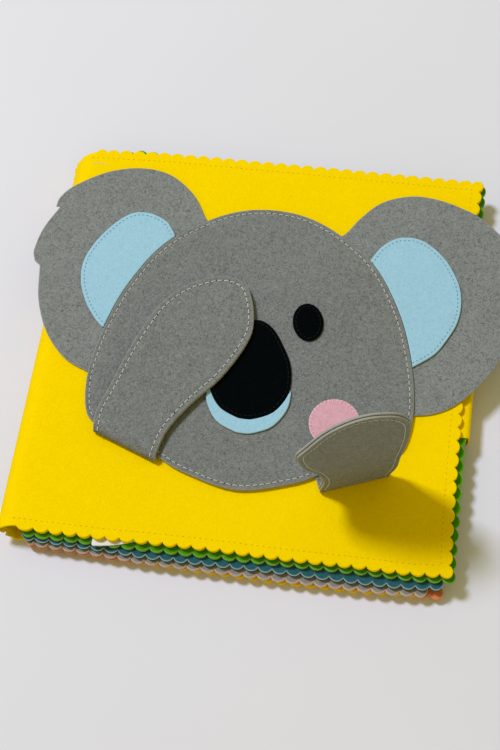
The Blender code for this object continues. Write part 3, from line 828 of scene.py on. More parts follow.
    def with_hole(
        self, sketch: NodeSketch, inlet: bpy.types.Node, stitch: bpy.types.NodeSocket,
    ) -> bpy.types.NodeSocket:
        """Adds a dark ball halfway to the next stitch, where the plan asks for it: painted shade in the
        hole that the needle leaves.

        Args:
            sketch: The tree to add to.
            inlet: The group's input node.
            stitch: The stitch's geometry socket.

        Returns:
            The geometry socket of one repeat.
        """
        radius = sketch.maths("MULTIPLY", inlet.outputs["Thread radius"], 1.25)
        ball = sketch.feed(sketch.add("GeometryNodeMeshIcoSphere"), Radius=radius, Subdivisions=1)
        halfway = sketch.maths("MULTIPLY", inlet.outputs["Pitch"], 0.5)
        spot = sketch.feed(sketch.add("ShaderNodeCombineXYZ"), X=halfway, Z=-0.1 * MM)
        placed = sketch.add("GeometryNodeTransform")
        sketch.feed(placed, Geometry=ball.outputs[0], Translation=spot.outputs[0], Scale=(1.3, 1.0, 0.5))
        # Marks the ball's faces, which take the painted hole shade.
        marked = sketch.add("GeometryNodeStoreNamedAttribute", data_type="BOOLEAN", domain="FACE")
        sketch.feed(marked, Geometry=placed.outputs[0], Name=self.HOLE, Value=True)
        both = sketch.add("GeometryNodeJoinGeometry")
        self.tree.links.new(marked.outputs[0], both.inputs[0])
        self.tree.links.new(stitch, both.inputs[0])
        choice = sketch.add("GeometryNodeSwitch", input_type="GEOMETRY")
        sketch.feed(choice, Switch=inlet.outputs["Needle holes"], _1=stitch, _2=both.outputs[0])
        return choice.outputs[0]

    def sew(
        self, name: str, runs: list[list[Vector]], plan: StitchPlan, ups: list[list[Vector]] | None = None,
        closed: bool = False,
    ) -> bpy.types.Object:
        """Sews one or more rows and returns them as a plain mesh object.

        Args:
            name: The piece's name.
            runs: The rows' points.
            plan: The stitches' sizes and thread.
            ups: The felt's outward direction at each point, or none where it is +Z.
            closed: Whether each row joins its own start.

        Returns:
            The mesh object.
        """
        spots, edges, normals = [], [], []
        for k, run in enumerate(runs):
            base, count = len(spots), len(run)
            spots += run
            normals += ups[k] if ups else [Vector((0, 0, 1))] * count
            edges += [(base + i, base + i + 1) for i in range(count - 1)]
            if closed:
                edges.append((base + count - 1, base))
        path = bpy.data.meshes.new(name + "_path")
        path.from_pydata(spots, edges, [])
        upward = path.attributes.new(UP, "FLOAT_VECTOR", "POINT")
        upward.data.foreach_set("vector", [value for normal in normals for value in normal])
        carrier = bpy.data.objects.new(name + "_path", path)
        bpy.context.scene.collection.objects.link(carrier)
        modifier = carrier.modifiers.new("stitches", "NODES")
        modifier.node_group = self.tree
        for key, identifier in self.sockets.items():
            value = getattr(plan, key)
            modifier[identifier] = value.material() if isinstance(value, ThreadFinish) else value
        evaluated = carrier.evaluated_get(bpy.context.evaluated_depsgraph_get())
        mesh = bpy.data.meshes.new_from_object(evaluated)
        mesh.name = name
        carrier.modifiers.clear()
        bpy.data.objects.remove(carrier, do_unlink=True)
        piece = bpy.data.objects.new(name, mesh)
        bpy.context.scene.collection.objects.link(piece)
        return piece


# Registering pieces
@dataclass
class Workshop:
    """What every sub-assembly needs: the frame, the stitch tree and the list of pieces."""

    frame: dict
    stitches: StitchTree
    made: list[str] = field(default_factory=list)

    def node(self, name: str) -> bpy.types.Object:
        """Returns a CAD node."""
        return self.frame["nodes"][name]

    def joint(self, name: str) -> dict:
        """Returns a joint of the record."""
        return next(joint for joint in self.frame["joints"] if joint["name"] == name)

    def settle(
        self, piece: bpy.types.Object, body: str, nodes: tuple[str, ...] = (), slot: str = "",
    ) -> None:
        """Lets a finished piece ride on a body in place of CAD nodes.

        Args:
            piece: The finished piece.
            body: The body that carries it.
            nodes: The CAD nodes that it stands for.
            slot: The record's material slot; not used.
        """
        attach(piece, body)
        self.note(piece, nodes, slot)

    def bend(
        self, piece: bpy.types.Object, bodies: tuple[str, str], start: Vector, end: Vector,
        nodes: tuple[str, ...] = (), slot: str = "",
    ) -> None:
        """Bakes a piece's place into its mesh in place of CAD nodes; the piece rides on no body and does
        not bend.

        Args:
            piece: The finished piece.
            bodies: The two bodies that a joint joins; not used.
            start: Where the piece would stop following the first body; not used.
            end: Where it would start to follow the second; not used.
            nodes: The CAD nodes that it stands for.
            slot: The record's material slot; not used.
        """
        tuple(start)
        tuple(end)
        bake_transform(piece)
        self.note(piece, nodes, slot)

    def note(self, piece: bpy.types.Object, nodes: tuple[str, ...], slot: str) -> None:
        """Hides the CAD nodes that a piece stands for, lists the piece and reports it."""
        if nodes:
            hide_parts(*nodes)
        self.made.append(piece.name)
        LOG.info("%s: %d faces", piece.name, len(piece.data.polygons))

    def declare(self, piece: bpy.types.Object, outline: Outline, hold: Hold, rests_on: list[str]) -> None:
        """Works out the size and area of a piece's flat outline, and does nothing more with them."""
        width, height = outline.size()
        area = min(abs(outline.signed_area()), width * height)


# The boards
def eased(value: float, start: float, end: float) -> float:
    """Returns a smooth share from 0 at the start to 1 at the end."""
    share = min(1.0, max(0.0, (value - start) / (end - start)))
    return share * share * (3 - 2 * share)


@dataclass(frozen=True)
class Drift:
    """How far a board's edges have moved from a plain square."""

    bow: float = 0.0
    droop: float = 0.0
    tuft: float = 0.0
    hollow: float = 9.0 * MM
    hem: tuple[float, ...] = (0.0,) * 10

    HALF = 108.5 * MM
    HEM_PLACES = (-108, -90, -57, -43, -14, 27, 64, 82, 93, 104)
    SPINE_PLACES = (-108, -78, -45, -5, 50, 96, 108)
    SPINE_LEAN = (-2.9, -2.3, -1.5, -0.6, 0.6, 1.6, 2.2)

    def lean(self, x: float, y: float, above: float) -> float:
        """Returns how far the spine leans at a point.

        The halves lean opposite ways at the hinge, so that they still meet there when the book is opened.

        Args:
            x: The point's place across the board.
            y: The point's place along the spine.
            above: The point's height over the hinge.

        Returns:
            The shift along X.
        """
        share = eased(abs(above), 0.0, 3 * MM)
        if above < 0:
            share *= eased(-above, 6.5 * MM, 1.5 * MM) * -1
        lean = float(np.interp(y / MM, self.SPINE_PLACES, self.SPINE_LEAN)) * MM
        return lean * eased(-x, 90 * MM, 110 * MM) * share

    def moved(self, x: float, y: float, above: float) -> Point:
        """Returns where a point of the board lies.

        Args:
            x: The point's place across the board.
            y: The point's place along the spine.
            above: The point's height over the hinge.

        Returns:
            The point's new place.
        """
        middle = 1 - min(1.0, abs(y) / self.HALF) ** 8
        inwards = self.bow * middle * eased(x, 66 * MM, 109 * MM)
        lean = self.lean(x, y, above)
        top = eased(y, 84 * MM, 106 * MM)
        drop = self.droop * top * eased(-x, 58 * MM, 104 * MM)
        rise = self.tuft * top * eased(12 * MM - abs(x + 75 * MM), 0.0, 8 * MM)
        foot = eased(-y, 84 * MM, 104 * MM)
        hang = float(np.interp(x / MM, self.HEM_PLACES, self.hem)) * MM
        retreat = self.hollow * eased(-x, 98 * MM, 107 * MM) - hang
        return x - inwards + lean, y - drop + rise + foot * retreat


@dataclass
class Ripple:
    """The gentle unevenness of felt that lies on felt."""

    height: float
    scale: float
    seed: float
    flat_until: float

    def lift(self, x: float, y: float) -> float:
        """Returns how far the felt lies above its flat place."""
        wave = noise.noise(Vector((x * self.scale, y * self.scale, self.seed)))
        wave += 0.35 * noise.noise(Vector((x * self.scale * 2.7, y * self.scale * 2.7, self.seed + 5)))
        near = min(1.0, max(0.0, (x - self.flat_until) / (25 * MM)))
        return self.height * near * (0.5 + 0.5 * max(-1.0, min(1.0, wave * 1.6)))


@dataclass
class Board:
    """A cover or leaf: two scalloped sheets sewn together and bent into the spine."""

    shop: Workshop
    name: str
    sheets: tuple[str, str]
    finishes: tuple[FeltFinish, FeltFinish]
    threads: tuple[ThreadFinish, ThreadFinish]
    upper: bool
    spine: Vector
    half: float
    ripple: Ripple
    drift: Drift

    SCALLOP_PITCH = 7 * MM
    SCALLOP_DEPTH = 2 * MM
    SCALLOP_STEPS = 8
    LOBE = 4.34 * MM
    SEAM_INSET = 5.6 * MM
    SPINE_GAP = 0.12 * MM

    def edges(self) -> tuple[float, float, float, float]:
        """Returns the tips' left, right, lowest and highest places, read from the plain sheet."""
        plain = next(sheet for sheet in self.sheets if not sheet.endswith("outer"))
        low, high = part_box(plain)
        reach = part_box(self.sheets[0])[1].x
        return self.spine.x + self.half, reach, low.y, high.y

    def bumps(self, start: Vector, end: Vector) -> list[Point]:
        """Returns the scallops between two points, bulging to the right of the way."""
        count = max(1, round((end - start).length / self.SCALLOP_PITCH))
        step = (end - start) / count
        along = step.normalized()
        outward = Vector((along.y, -along.x))
        half = step.length / 2
        radius = (half**2 + self.SCALLOP_DEPTH**2) / (2 * self.SCALLOP_DEPTH)
        reach = math.asin(half / radius)
        points = []
        for i in range(count):
            middle = start + step * (i + 0.5) - outward * (radius - self.SCALLOP_DEPTH)
            for k in range(self.SCALLOP_STEPS):
                angle = reach * (2 * k / self.SCALLOP_STEPS - 1)
                spot = middle + outward * radius * math.cos(angle) + along * radius * math.sin(angle)
                points.append((spot.x, spot.y))
        return points

    def corner(self, corner: Vector, turn: float) -> list[Point]:
        """Returns the round lobe at a corner."""
        lobe, depth = self.LOBE, self.SCALLOP_DEPTH
        inset = lobe + depth - math.sqrt(2 * depth * (lobe + depth))
        radius = inset + depth
        across = Matrix.Rotation(turn, 2)
        centre = corner + across @ Vector((-inset, inset))
        spread = math.atan2(inset, lobe - inset)
        steps = 2 * self.SCALLOP_STEPS
        points = []
        for k in range(steps):
            angle = spread - math.pi + (1.5 * math.pi - 2 * spread) * k / steps
            spot = centre + across @ Vector((radius * math.cos(angle), radius * math.sin(angle)))
            points.append((spot.x, spot.y))
        return points

    def outline(self, radius: float) -> Outline:
        """Returns the flat cut of a sheet that bends at a radius."""
        left, right, low, high = self.edges()
        depth, lobe = self.SCALLOP_DEPTH, self.LOBE
        far, under, over = right - depth, low + depth, high - depth
        spine = left - radius * (math.pi / 2) + self.SPINE_GAP
        plain = [(spine + (left - spine) * k / 8, under) for k in range(8)]
        points = plain + self.bumps(Vector((left, under)), Vector((far - lobe, under)))
        points += self.corner(Vector((far, under)), 0.0)
        points += self.bumps(Vector((far, under + lobe)), Vector((far, over - lobe)))
        points += self.corner(Vector((far, over)), math.pi / 2)
        points += self.bumps(Vector((far - lobe, over)), Vector((left, over)))
        points += [(left - (left - spine) * k / 8, over) for k in range(9)]
        rise = over - under
        points += [(spine, over - rise * k / 50) for k in range(1, 50)]
        return Outline(points)

    def warp(self, slant: float) -> Warp:
        """Returns the function that ripples a flat sheet and bends it into the spine.

        Args:
            slant: How far the sheet's end at the spine is skewed along Y.

        Returns:
            The function.
        """
        left = self.spine.x + self.half
        side = 1 if self.upper else -1

        def bent(spot: Vector) -> Vector:
            """Places one point of the sheet."""
            height = spot.z + self.ripple.lift(spot.x, spot.y) * side
            if spot.x >= left:
                return Vector((*self.drift.moved(spot.x, spot.y, height - self.spine.z), height))
            radius = abs(height - self.spine.z)
            middle = self.middle_radius
            angle = (left - spot.x) / middle
            above = side * radius * math.cos(angle)
            reach = math.sin(angle)
            x, y = self.drift.moved(left - radius * reach, spot.y + slant * reach, above)
            return Vector((x, y, self.spine.z + above))

        return bent

    def levels(self, sheet: str) -> tuple[float, float]:
        """Returns a sheet's flat underside and top."""
        low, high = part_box(sheet)
        return (high.z - FELT, high.z) if self.upper else (low.z, low.z + FELT)

    def build(self) -> None:
        """Builds both sheets and the seams that hold them together."""
        for sheet, finish in zip(self.sheets, self.finishes):
            bottom, top = self.levels(sheet)
            self.middle_radius = abs((top + bottom) / 2 - self.spine.z)
            slant = 0.0
            if sheet.endswith("outer"):
                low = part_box(sheet)[0].y
                slant = low - self.edges()[2] if self.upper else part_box(sheet)[1].y - self.edges()[3]
            outline = self.outline(self.middle_radius)
            cut = FeltCut(
                sheet + "_felt", outline, bottom, top, finish, pitch=5 * MM, warp=self.warp(slant),
                bend=self.spine.x + self.half,
            )
            piece = cut.build()
            self.shop.settle(piece, self.name, (sheet,), finish.slot)
            self.shop.declare(piece, outline, Hold.FOLDED, [])
        self.sew()

    def seam(self, height: float) -> list[Vector]:
        """Returns the seam's path along the three scalloped sides."""
        left, right, low, high = self.edges()
        inset = self.SEAM_INSET
        start = left - 1.5 * MM
        far, under, over = right - inset, low + inset, high - inset
        corners = [(start, under), (far, under), (far, over), (start, over)]
        path = []
        for (ax, ay), (bx, by) in zip(corners, corners[1:]):
            steps = round(math.hypot(bx - ax, by - ay) / (4 * MM))
            for k in range(steps):
                path.append((ax + (bx - ax) * k / steps, ay + (by - ay) * k / steps))
        path.append(corners[-1])
        side = 1 if self.upper else -1
        above = height - self.spine.z
        return [
            Vector((*self.drift.moved(x, y, above), height + side * self.ripple.lift(x, y)))
            for x, y in path
        ]

    def sew(self) -> None:
        """Sews the seam on both faces of the board."""
        faces = [self.levels(sheet) for sheet in self.sheets]
        top, bottom = max(f[1] for f in faces), min(f[0] for f in faces)
        above = self.threads_by_height()
        for label, height, up, thread in (
            ("upper", top, 1, above[0]), ("lower", bottom, -1, above[1]),
        ):
            path = self.seam(height)
            ups = [[Vector((0, 0, up))] * len(path)]
            # On the covers the darker thread carries painted shade of the sunk stitches.
            plan = StitchPlan(thread, pitch=2.8 * MM, length=1.0 * MM, radius=0.24 * MM, arch=0.0)
            piece = self.shop.stitches.sew(f"{self.name}_{label}_seam", [path], plan, ups)
            self.shop.settle(piece, self.name)

    def threads_by_height(self) -> tuple[ThreadFinish, ThreadFinish]:
        """Returns the threads of the upper and the lower face."""
        inner, outer = self.threads
        return (outer, inner) if self.upper else (inner, outer)


# The koala
@dataclass
class Koala:
    """The head and face that are sewn on the cover."""

    shop: Workshop
    ripple: Ripple
    head: Outline = field(init=False)

    SEAM = 2.2 * MM
    PATCH_SEAM = 1.6 * MM
    CHEEK_SHIFT = 2.4 * MM
    HEAD_SINK = 0.15 * MM
    PATCH_SINK = 0.1 * MM
    CHEEK_STITCH = 0.95 * MM
    SMILE_TIP = ((20.2, -25.2), (21.35, -25.2), (20.8, -23.4))

    def __post_init__(self) -> None:
        """Reads the head's outline from its CAD node."""
        self.head = node_outline(self.shop.node("head_front")).refined(1.2 * MM)

    def warp(self) -> Warp:
        """Returns the function that lets a piece follow the cover's ripples."""
        return lambda spot: Vector((spot.x, spot.y, spot.z + self.ripple.lift(spot.x, spot.y)))

    def patch(
        self, node: str, finish: FeltFinish, outline: Outline, seam: float = 0.0, body: str = "front_cover",
    ) -> bpy.types.Object:
        """Cuts one flat piece of the koala in place of its CAD node.

        Args:
            node: The CAD node.
            finish: The felt.
            outline: The piece's cut.
            seam: How far inside the edge a seam pulls the felt down.
            body: The body that carries the piece.

        Returns:
            The piece.
        """
        low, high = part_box(node)
        cut = FeltCut(
            node + "_felt", outline, low.z, high.z, finish, seam=seam, pitch=3 * MM, warp=self.warp(),
        )
        piece = cut.build()
        self.shop.settle(piece, body, (node,), finish.slot)
        self.shop.declare(piece, outline, Hold.LAID, ["front_cover_outer_felt"])
        return piece

    def sew_inside(
        self, name: str, outline: Outline, inset: float, height: float, plan: StitchPlan,
    ) -> None:
        """Sews a closed row inside an outline, on the rippled felt.

        Args:
            name: The row's name.
            outline: The outline that the row follows.
            inset: How far inside it the row runs.
            height: The row's height before the ripples.
            plan: The stitches.
        """
        warp = self.warp()
        row = [warp(Vector((x, y, height))) for x, y in outline.inset(inset)]
        self.shop.settle(self.shop.stitches.sew(name, [row], plan, closed=True), "front_cover")

    def build(self) -> None:
        """Builds the head, the face and their stitches."""
        self.build_backing()
        self.patch("head_front", KOALA_GREY, self.head, self.SEAM)
        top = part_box("head_front")[1].z
        plan = StitchPlan(WHITE_THREAD, length=2.0 * MM, radius=0.22 * MM, holes=True)
        self.sew_inside("head_seam", self.head, self.SEAM, top - self.HEAD_SINK, plan)
        self.build_face()

    def build_backing(self) -> None:
        """Builds the layer under the head that the ears and arms are sewn into."""
        outline = node_outline(self.shop.node("head_backing"))
        self.patch("head_backing", KOALA_GREY, outline)

    def build_face(self) -> None:
        """Builds the nose, smile, eyes and cheeks with their threads."""
        fine = 0.9 * MM
        dotted = StitchPlan(BLACK_THREAD, pitch=2.6 * MM, length=1.6 * MM, radius=0.18 * MM, arch=0.05 * MM)
        for node in ("nose", "left_eye", "right_eye"):
            outline = node_outline(self.shop.node(node)).refined(fine)
            self.patch(node, BLACK, outline, self.PATCH_SEAM)
            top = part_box(node)[1].z - self.PATCH_SINK
            self.sew_inside(node + "_seam", outline, self.PATCH_SEAM, top, dotted)
        self.patch("mouth", LIGHT_BLUE, self.smile().refined(fine))
        for node in ("left_cheek", "right_cheek"):
            outline = node_outline(self.shop.node(node)).refined(fine)
            if node == "left_cheek":
                outline = Outline([(x - self.CHEEK_SHIFT, y + self.CHEEK_SHIFT) for x, y in outline.points])
            self.patch(node, PINK, outline, self.PATCH_SEAM)
            self.overcast(node, outline)

    def smile(self) -> Outline:
        """Returns the mouth's outline with its ends drawn out to points beside the nose."""
        points = node_outline(self.shop.node("mouth")).points
        top = max(y for _, y in points)
        inner, outer, tip = self.SMILE_TIP
        drawn = []
        for i, (x, y) in enumerate(points):
            before = points[i - 1]
            if y > top - 0.05 * MM and before[1] > top - 0.05 * MM and abs(x - before[0]) < 5 * MM:
                sign = 1 if x > 0 else -1
                steps = (outer, tip, inner) if abs(x) < abs(before[0]) else (inner, tip, outer)
                drawn += [(sign * px * MM, py * MM) for px, py in steps]
            drawn.append((x, y))
        return Outline(drawn)

    def overcast(self, node: str, outline: Outline) -> None:
        """Sews a cheek down with stitches that cross its edge."""
        plan = StitchPlan(
            PINK_THREAD, pitch=2.1 * MM, length=1.9 * MM, radius=0.2 * MM, arch=0.16 * MM,
            turn=math.radians(74),
        )
        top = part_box(node)[1].z - self.PATCH_SINK
        self.sew_inside(node + "_stitches", outline, self.CHEEK_STITCH, top, plan)


@dataclass
class Ear:
    """An ear that lifts at a fold beside the head, with its light patch."""

    koala: Koala
    side: Side
    curl: float = 1.6 * MM

    FOLD_HALF = 1.6 * MM
    CURL_START = 12 * MM
    CURL_RUN = 40 * MM
    PATCH_SEAM = 1.8 * MM
    HEAD_GAP = 0.35 * MM
    HIDDEN = 6 * MM
    PATCH_ENDS = {
        Side.LEFT: (((-48, 49.8), (-50.3, 57.2)), ((-77.7, -0.8),)),
        Side.RIGHT: (((77.5, -7.5), (79.9, -3.8)), ((53.5, 54.4), (49.6, 48.2))),
    }

    def __post_init__(self) -> None:
        """Reads the fold from the joint."""
        self.name = self.side.name.lower()
        joint = self.koala.shop.joint(self.name + "_ear_fold")
        self.spot = Vector(joint["pos_m"])
        self.outward = Vector((self.side.value * abs(joint["axis"][1]), joint["axis"][0], 0.0))
        self.distance = self.spot.xy.dot(self.outward.xy)

    def beyond(self, x: float, y: float) -> float:
        """Returns how far a point lies outside the fold."""
        return Vector((x, y)).dot(self.outward.xy) - self.distance

    def warp(self) -> Warp:
        """Returns the function that ripples the ear and lifts its free edge a little."""
        ripple = self.koala.ripple

        def shaped(spot: Vector) -> Vector:
            """Places one point of the ear."""
            rise = max(0.0, self.beyond(spot.x, spot.y) - self.CURL_START) / self.CURL_RUN
            lift = ripple.lift(spot.x, spot.y) + self.curl * rise * rise
            return Vector((spot.x, spot.y, spot.z + lift))

        return shaped

    def chain(self, node: str) -> list[Point]:
        """Returns a node's outline from one end of the fold to the other, without the cut."""
        points = node_outline(self.koala.shop.node(node)).points
        cut = [abs(self.beyond(x, y)) < 0.25 * MM for x, y in points]
        start = next(i for i in range(len(points)) if cut[i - 1] and not cut[i])
        order = [(start + k) % len(points) for k in range(len(points))]
        return [points[i] for i in order if not cut[i]]

    def build(self) -> None:
        """Builds the ear, its patch and the patch's stitches."""
        shop = self.koala.shop
        root, flap = self.name + "_ear_root", self.name + "_ear"
        outline = Outline(self.chain(flap) + self.chain(root)).refined(1.1 * MM)
        low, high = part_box(flap)
        cut = FeltCut(flap + "_felt", outline, low.z, high.z, EAR_GREY, pitch=3 * MM, warp=self.warp())
        piece = cut.build()
        start = self.spot - self.outward * self.FOLD_HALF
        end = self.spot + self.outward * self.FOLD_HALF
        bodies = ("front_cover", self.name + "_ear")
        shop.bend(piece, bodies, start, end, (root, flap), EAR_GREY.slot)
        shop.declare(piece, outline, Hold.LAID, ["front_cover_outer_felt"])
        self.build_patch(bodies, start, end)

    def build_patch(self, bodies: tuple[str, str], start: Vector, end: Vector) -> None:
        """Builds the light patch, which runs up to the head's edge."""
        shop = self.koala.shop
        node = self.name + "_ear_patch"
        first, last = self.PATCH_ENDS[self.side]
        ends = [[(x * MM, y * MM) for x, y in end] for end in (first, last)]
        whole = Outline(ends[0] + self.chain(node) + ends[1]).refined(1.0 * MM)
        head = Outline(Outline(self.koala.head.points).inset(-self.HEAD_GAP))
        outline = whole.without(head)
        low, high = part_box(node)
        cut = FeltCut(node + "_felt", outline, low.z, high.z, LIGHT_BLUE, pitch=3 * MM, warp=self.warp())
        piece = cut.build()
        shop.bend(piece, bodies, start, end, (node,), LIGHT_BLUE.slot)
        shop.declare(piece, outline, Hold.LAID, [self.name + "_ear_felt"])
        warp = self.warp()
        seam = [
            warp(Vector((x, y, high.z)))
            for (x, y), (px, py) in zip(whole.inset(self.PATCH_SEAM), whole.points)
            if not head.holds(np.array([[x, y]]))[0] and self.beyond(px, py) > -self.HIDDEN
        ]
        plan = StitchPlan(BLUE_THREAD, pitch=2.2 * MM, length=1.1 * MM, radius=0.22 * MM, arch=0.04 * MM)
        threads = shop.stitches.sew(node + "_seam", [from_widest_gap(seam)], plan)
        shop.bend(threads, bodies, start, end)


@dataclass
class Arm:
    """An arm of two felt sheets that folds over the face at the chin."""

    koala: Koala
    side: Side
    raised: bool

    SEAM = 2.6 * MM
    GAPE = 0.5 * MM
    GAPE_PEAK = 26 * MM
    TAB = 11 * MM
    BACK_REACH = 0.5 * MM
    LEAN = 3.0 * MM
    NARROWER = 0.08
    HALF_WIDTH = 17.6 * MM
    FLAT_START = 3.0 * MM

    def __post_init__(self) -> None:
        """Reads the fold's axis and the rest angle from the joint."""
        self.name = self.side.name.lower()
        joint = self.koala.shop.joint(self.name + "_arm_fold")
        along = Vector(joint["axis"])
        inward = Vector((0, 0, 1)).cross(along)
        turn = Matrix((along, inward, Vector((0, 0, 1)))).transposed().to_4x4()
        self.frame = Matrix.Translation(Vector(joint["pos_m"])) @ turn
        self.open = math.radians(-joint["range_deg"][0])

    def flat_cut(self, front: bool) -> Outline:
        """Returns a sheet's developed cut: along the fold, and along the arm from the bend's end."""
        lay = Matrix.Rotation(-self.open, 4, "X") @ self.frame.inverted()
        closed = node_outline(self.koala.shop.node(self.name + "_arm_front"), lay)
        start = self.FLAT_START
        points = [(x, y - start) for x, y in closed.points if y > start + 0.6 * MM]
        points = from_widest_gap(points)
        if self.raised:
            points = [(x - min(0.0, x) * self.NARROWER * eased(y, 5 * MM, 30 * MM), y) for x, y in points]
            points = Outline(points).inset(self.BACK_REACH if front else 0.0)
        end = -self.path(front)[1]
        half = self.HALF_WIDTH
        return Outline([(half, end), (half, -2 * MM), *points, (-half, -2 * MM), (-half, end)])

    def path(self, front: bool) -> tuple[list[Vector], float]:
        """Returns a sheet's middle line from the arm's flat part to its hidden end, and its length.

        Args:
            front: Whether the sheet is the outer one.

        Returns:
            Points across and above the fold's axis, and the line's length.
        """
        start = self.FLAT_START
        level = (3.0 if front else 1.72 if self.raised else 1.5) * MM
        points = []
        if self.raised:
            tilt = Matrix.Rotation(self.open, 2)
            points.append(tilt @ Vector((start, level)))
            if front:
                ends = ((-level, 0.2 * MM), (-level, -1.6 * MM), (-2.5 * MM, -3.0 * MM))
                points += [Vector(end) for end in ends]
            else:
                middle, reach = Vector((1.5 * MM, 0)), 3.0 * MM
                for k in range(9):
                    angle = math.pi + math.pi / 2 * k / 8
                    points.append(middle + reach * Vector((math.cos(angle), math.sin(angle))))
                points.append(points[-1] + Vector((self.TAB, 0)))
        else:
            across, rise = (2.45 * MM, 3.75 * MM) if front else (1.25 * MM, 2.25 * MM)
            last = 210 if front else 270
            for k in range(11):
                angle = math.radians(90 + (last - 90) * k / 10)
                x, y = start + across * math.cos(angle), rise * math.sin(angle) - 0.75 * MM
                points.append(Vector((x, y)))
            if not front:
                points.append(points[-1] + Vector((self.TAB, 0)))
        length = sum((b - a).length for a, b in zip(points, points[1:]))
        return points, length

    def warp(self, front: bool) -> Warp:
        """Returns the function that lays a flat cut along the sheet's path."""
        points, _ = self.path(front)
        direction = Matrix.Rotation(self.open, 2) @ Vector((1, 0)) if self.raised else Vector((1, 0))
        marks = [0.0]
        for a, b in zip(points, points[1:]):
            marks.append(marks[-1] + (b - a).length)
        ripple = self.koala.ripple

        def laid(spot: Vector) -> Vector:
            """Places one point of the sheet."""
            run = -spot.y
            if run <= 0:
                here = points[0] - direction * run
                ahead = direction
            else:
                k = len(points) - 2
                if run < marks[-1]:
                    k = min(k, max(i for i, mark in enumerate(marks) if mark <= run))
                share = (run - marks[k]) / (marks[k + 1] - marks[k])
                here = points[k].lerp(points[k + 1], share)
                before = (points[k] - points[k - 1]).normalized() if k else -direction
                after = (points[k + 1] - points[k]).normalized()
                later = (points[k + 2] - points[k + 1]).normalized() if k + 2 < len(points) else after
                start_way, end_way = (before + after).normalized(), (after + later).normalized()
                ahead = -start_way.lerp(end_way, share).normalized()
            outward = Vector((-ahead.y, ahead.x))
            here = here + outward * spot.z
            bow = self.bow(spot.x, -run) if run < 0 else 0.0
            here = here + outward * bow
            place = self.frame @ Vector((spot.x, here.x, here.y))
            place.z += ripple.lift(place.x, place.y)
            return place

        return laid

    def bow(self, across: float, along: float) -> float:
        """Returns how far the arm's felt stands off its flat place."""
        if self.raised:
            curl = -0.5 * MM * (across / (22 * MM)) ** 2 * min(1.0, along / (40 * MM))
            return curl + self.LEAN * min(1.0, along / (90 * MM))
        share = min(1.0, max(0.0, (across + 6 * MM) / (24 * MM)))
        run = along / self.GAPE_PEAK
        return self.GAPE * share * share * (3 - 2 * share) * run * math.exp(1 - run)

    def build(self) -> None:
        """Builds both sheets and the white seam that joins them."""
        shop = self.koala.shop
        bodies = ("front_cover", self.name + "_arm")
        low = self.frame @ Vector((0, 0, -2.3 * MM))
        high = self.frame @ Vector((0, 0, 1.0 * MM))
        for front in (False, True):
            label = self.name + ("_arm_front" if front else "_arm_back")
            outline = self.flat_cut(front).refined(1.1 * MM)
            cut = FeltCut(
                label + "_felt", outline, -FELT / 2, FELT / 2, KOALA_GREY, seam=self.SEAM, pitch=2.4 * MM,
                warp=self.warp(front),
            )
            piece = cut.build()
            nodes = (label,) if front else (label, self.name + "_arm_tab")
            shop.bend(piece, bodies, low, high, nodes, KOALA_GREY.slot)
            shop.declare(piece, outline, Hold.FOLDED, ["head_front_felt"])
            self.sew(label, outline, front, bodies, low, high)

    def sew(
        self, label: str, outline: Outline, front: bool, bodies: tuple[str, str], low: Vector, high: Vector,
    ) -> None:
        """Sews the seam that shows on one side of the arm.

        Args:
            label: The sheet's name.
            outline: The sheet's flat cut.
            front: Whether the sheet is the outer one.
            bodies: The two bodies that the arm bends between.
            low: Where the bend starts.
            high: Where the bend ends.
        """
        warp = self.warp(front)
        face = FELT / 2 - 0.1 * MM if front else -FELT / 2 + 0.05 * MM
        limit = -2.0 * MM if front else 0.0
        line = [(x, y) for x, y in outline.inset(self.SEAM) if y > limit]
        line = from_widest_gap(line)
        path = [warp(Vector((x, y, face))) for x, y in line]
        other = [warp(Vector((x, y, 0.0))) for x, y in line]
        ups = [(a - b).normalized() for a, b in zip(path, other)]
        plan = StitchPlan(WHITE_THREAD, radius=0.25 * MM, holes=True)
        if self.raised:
            plan = StitchPlan(WHITE_THREAD, pitch=3.0 * MM, length=2.5 * MM, radius=0.2 * MM, arch=0.1 * MM)
        piece = self.koala.shop.stitches.sew(label + "_seam", [path], plan, [ups])
        self.koala.shop.bend(piece, bodies, low, high)


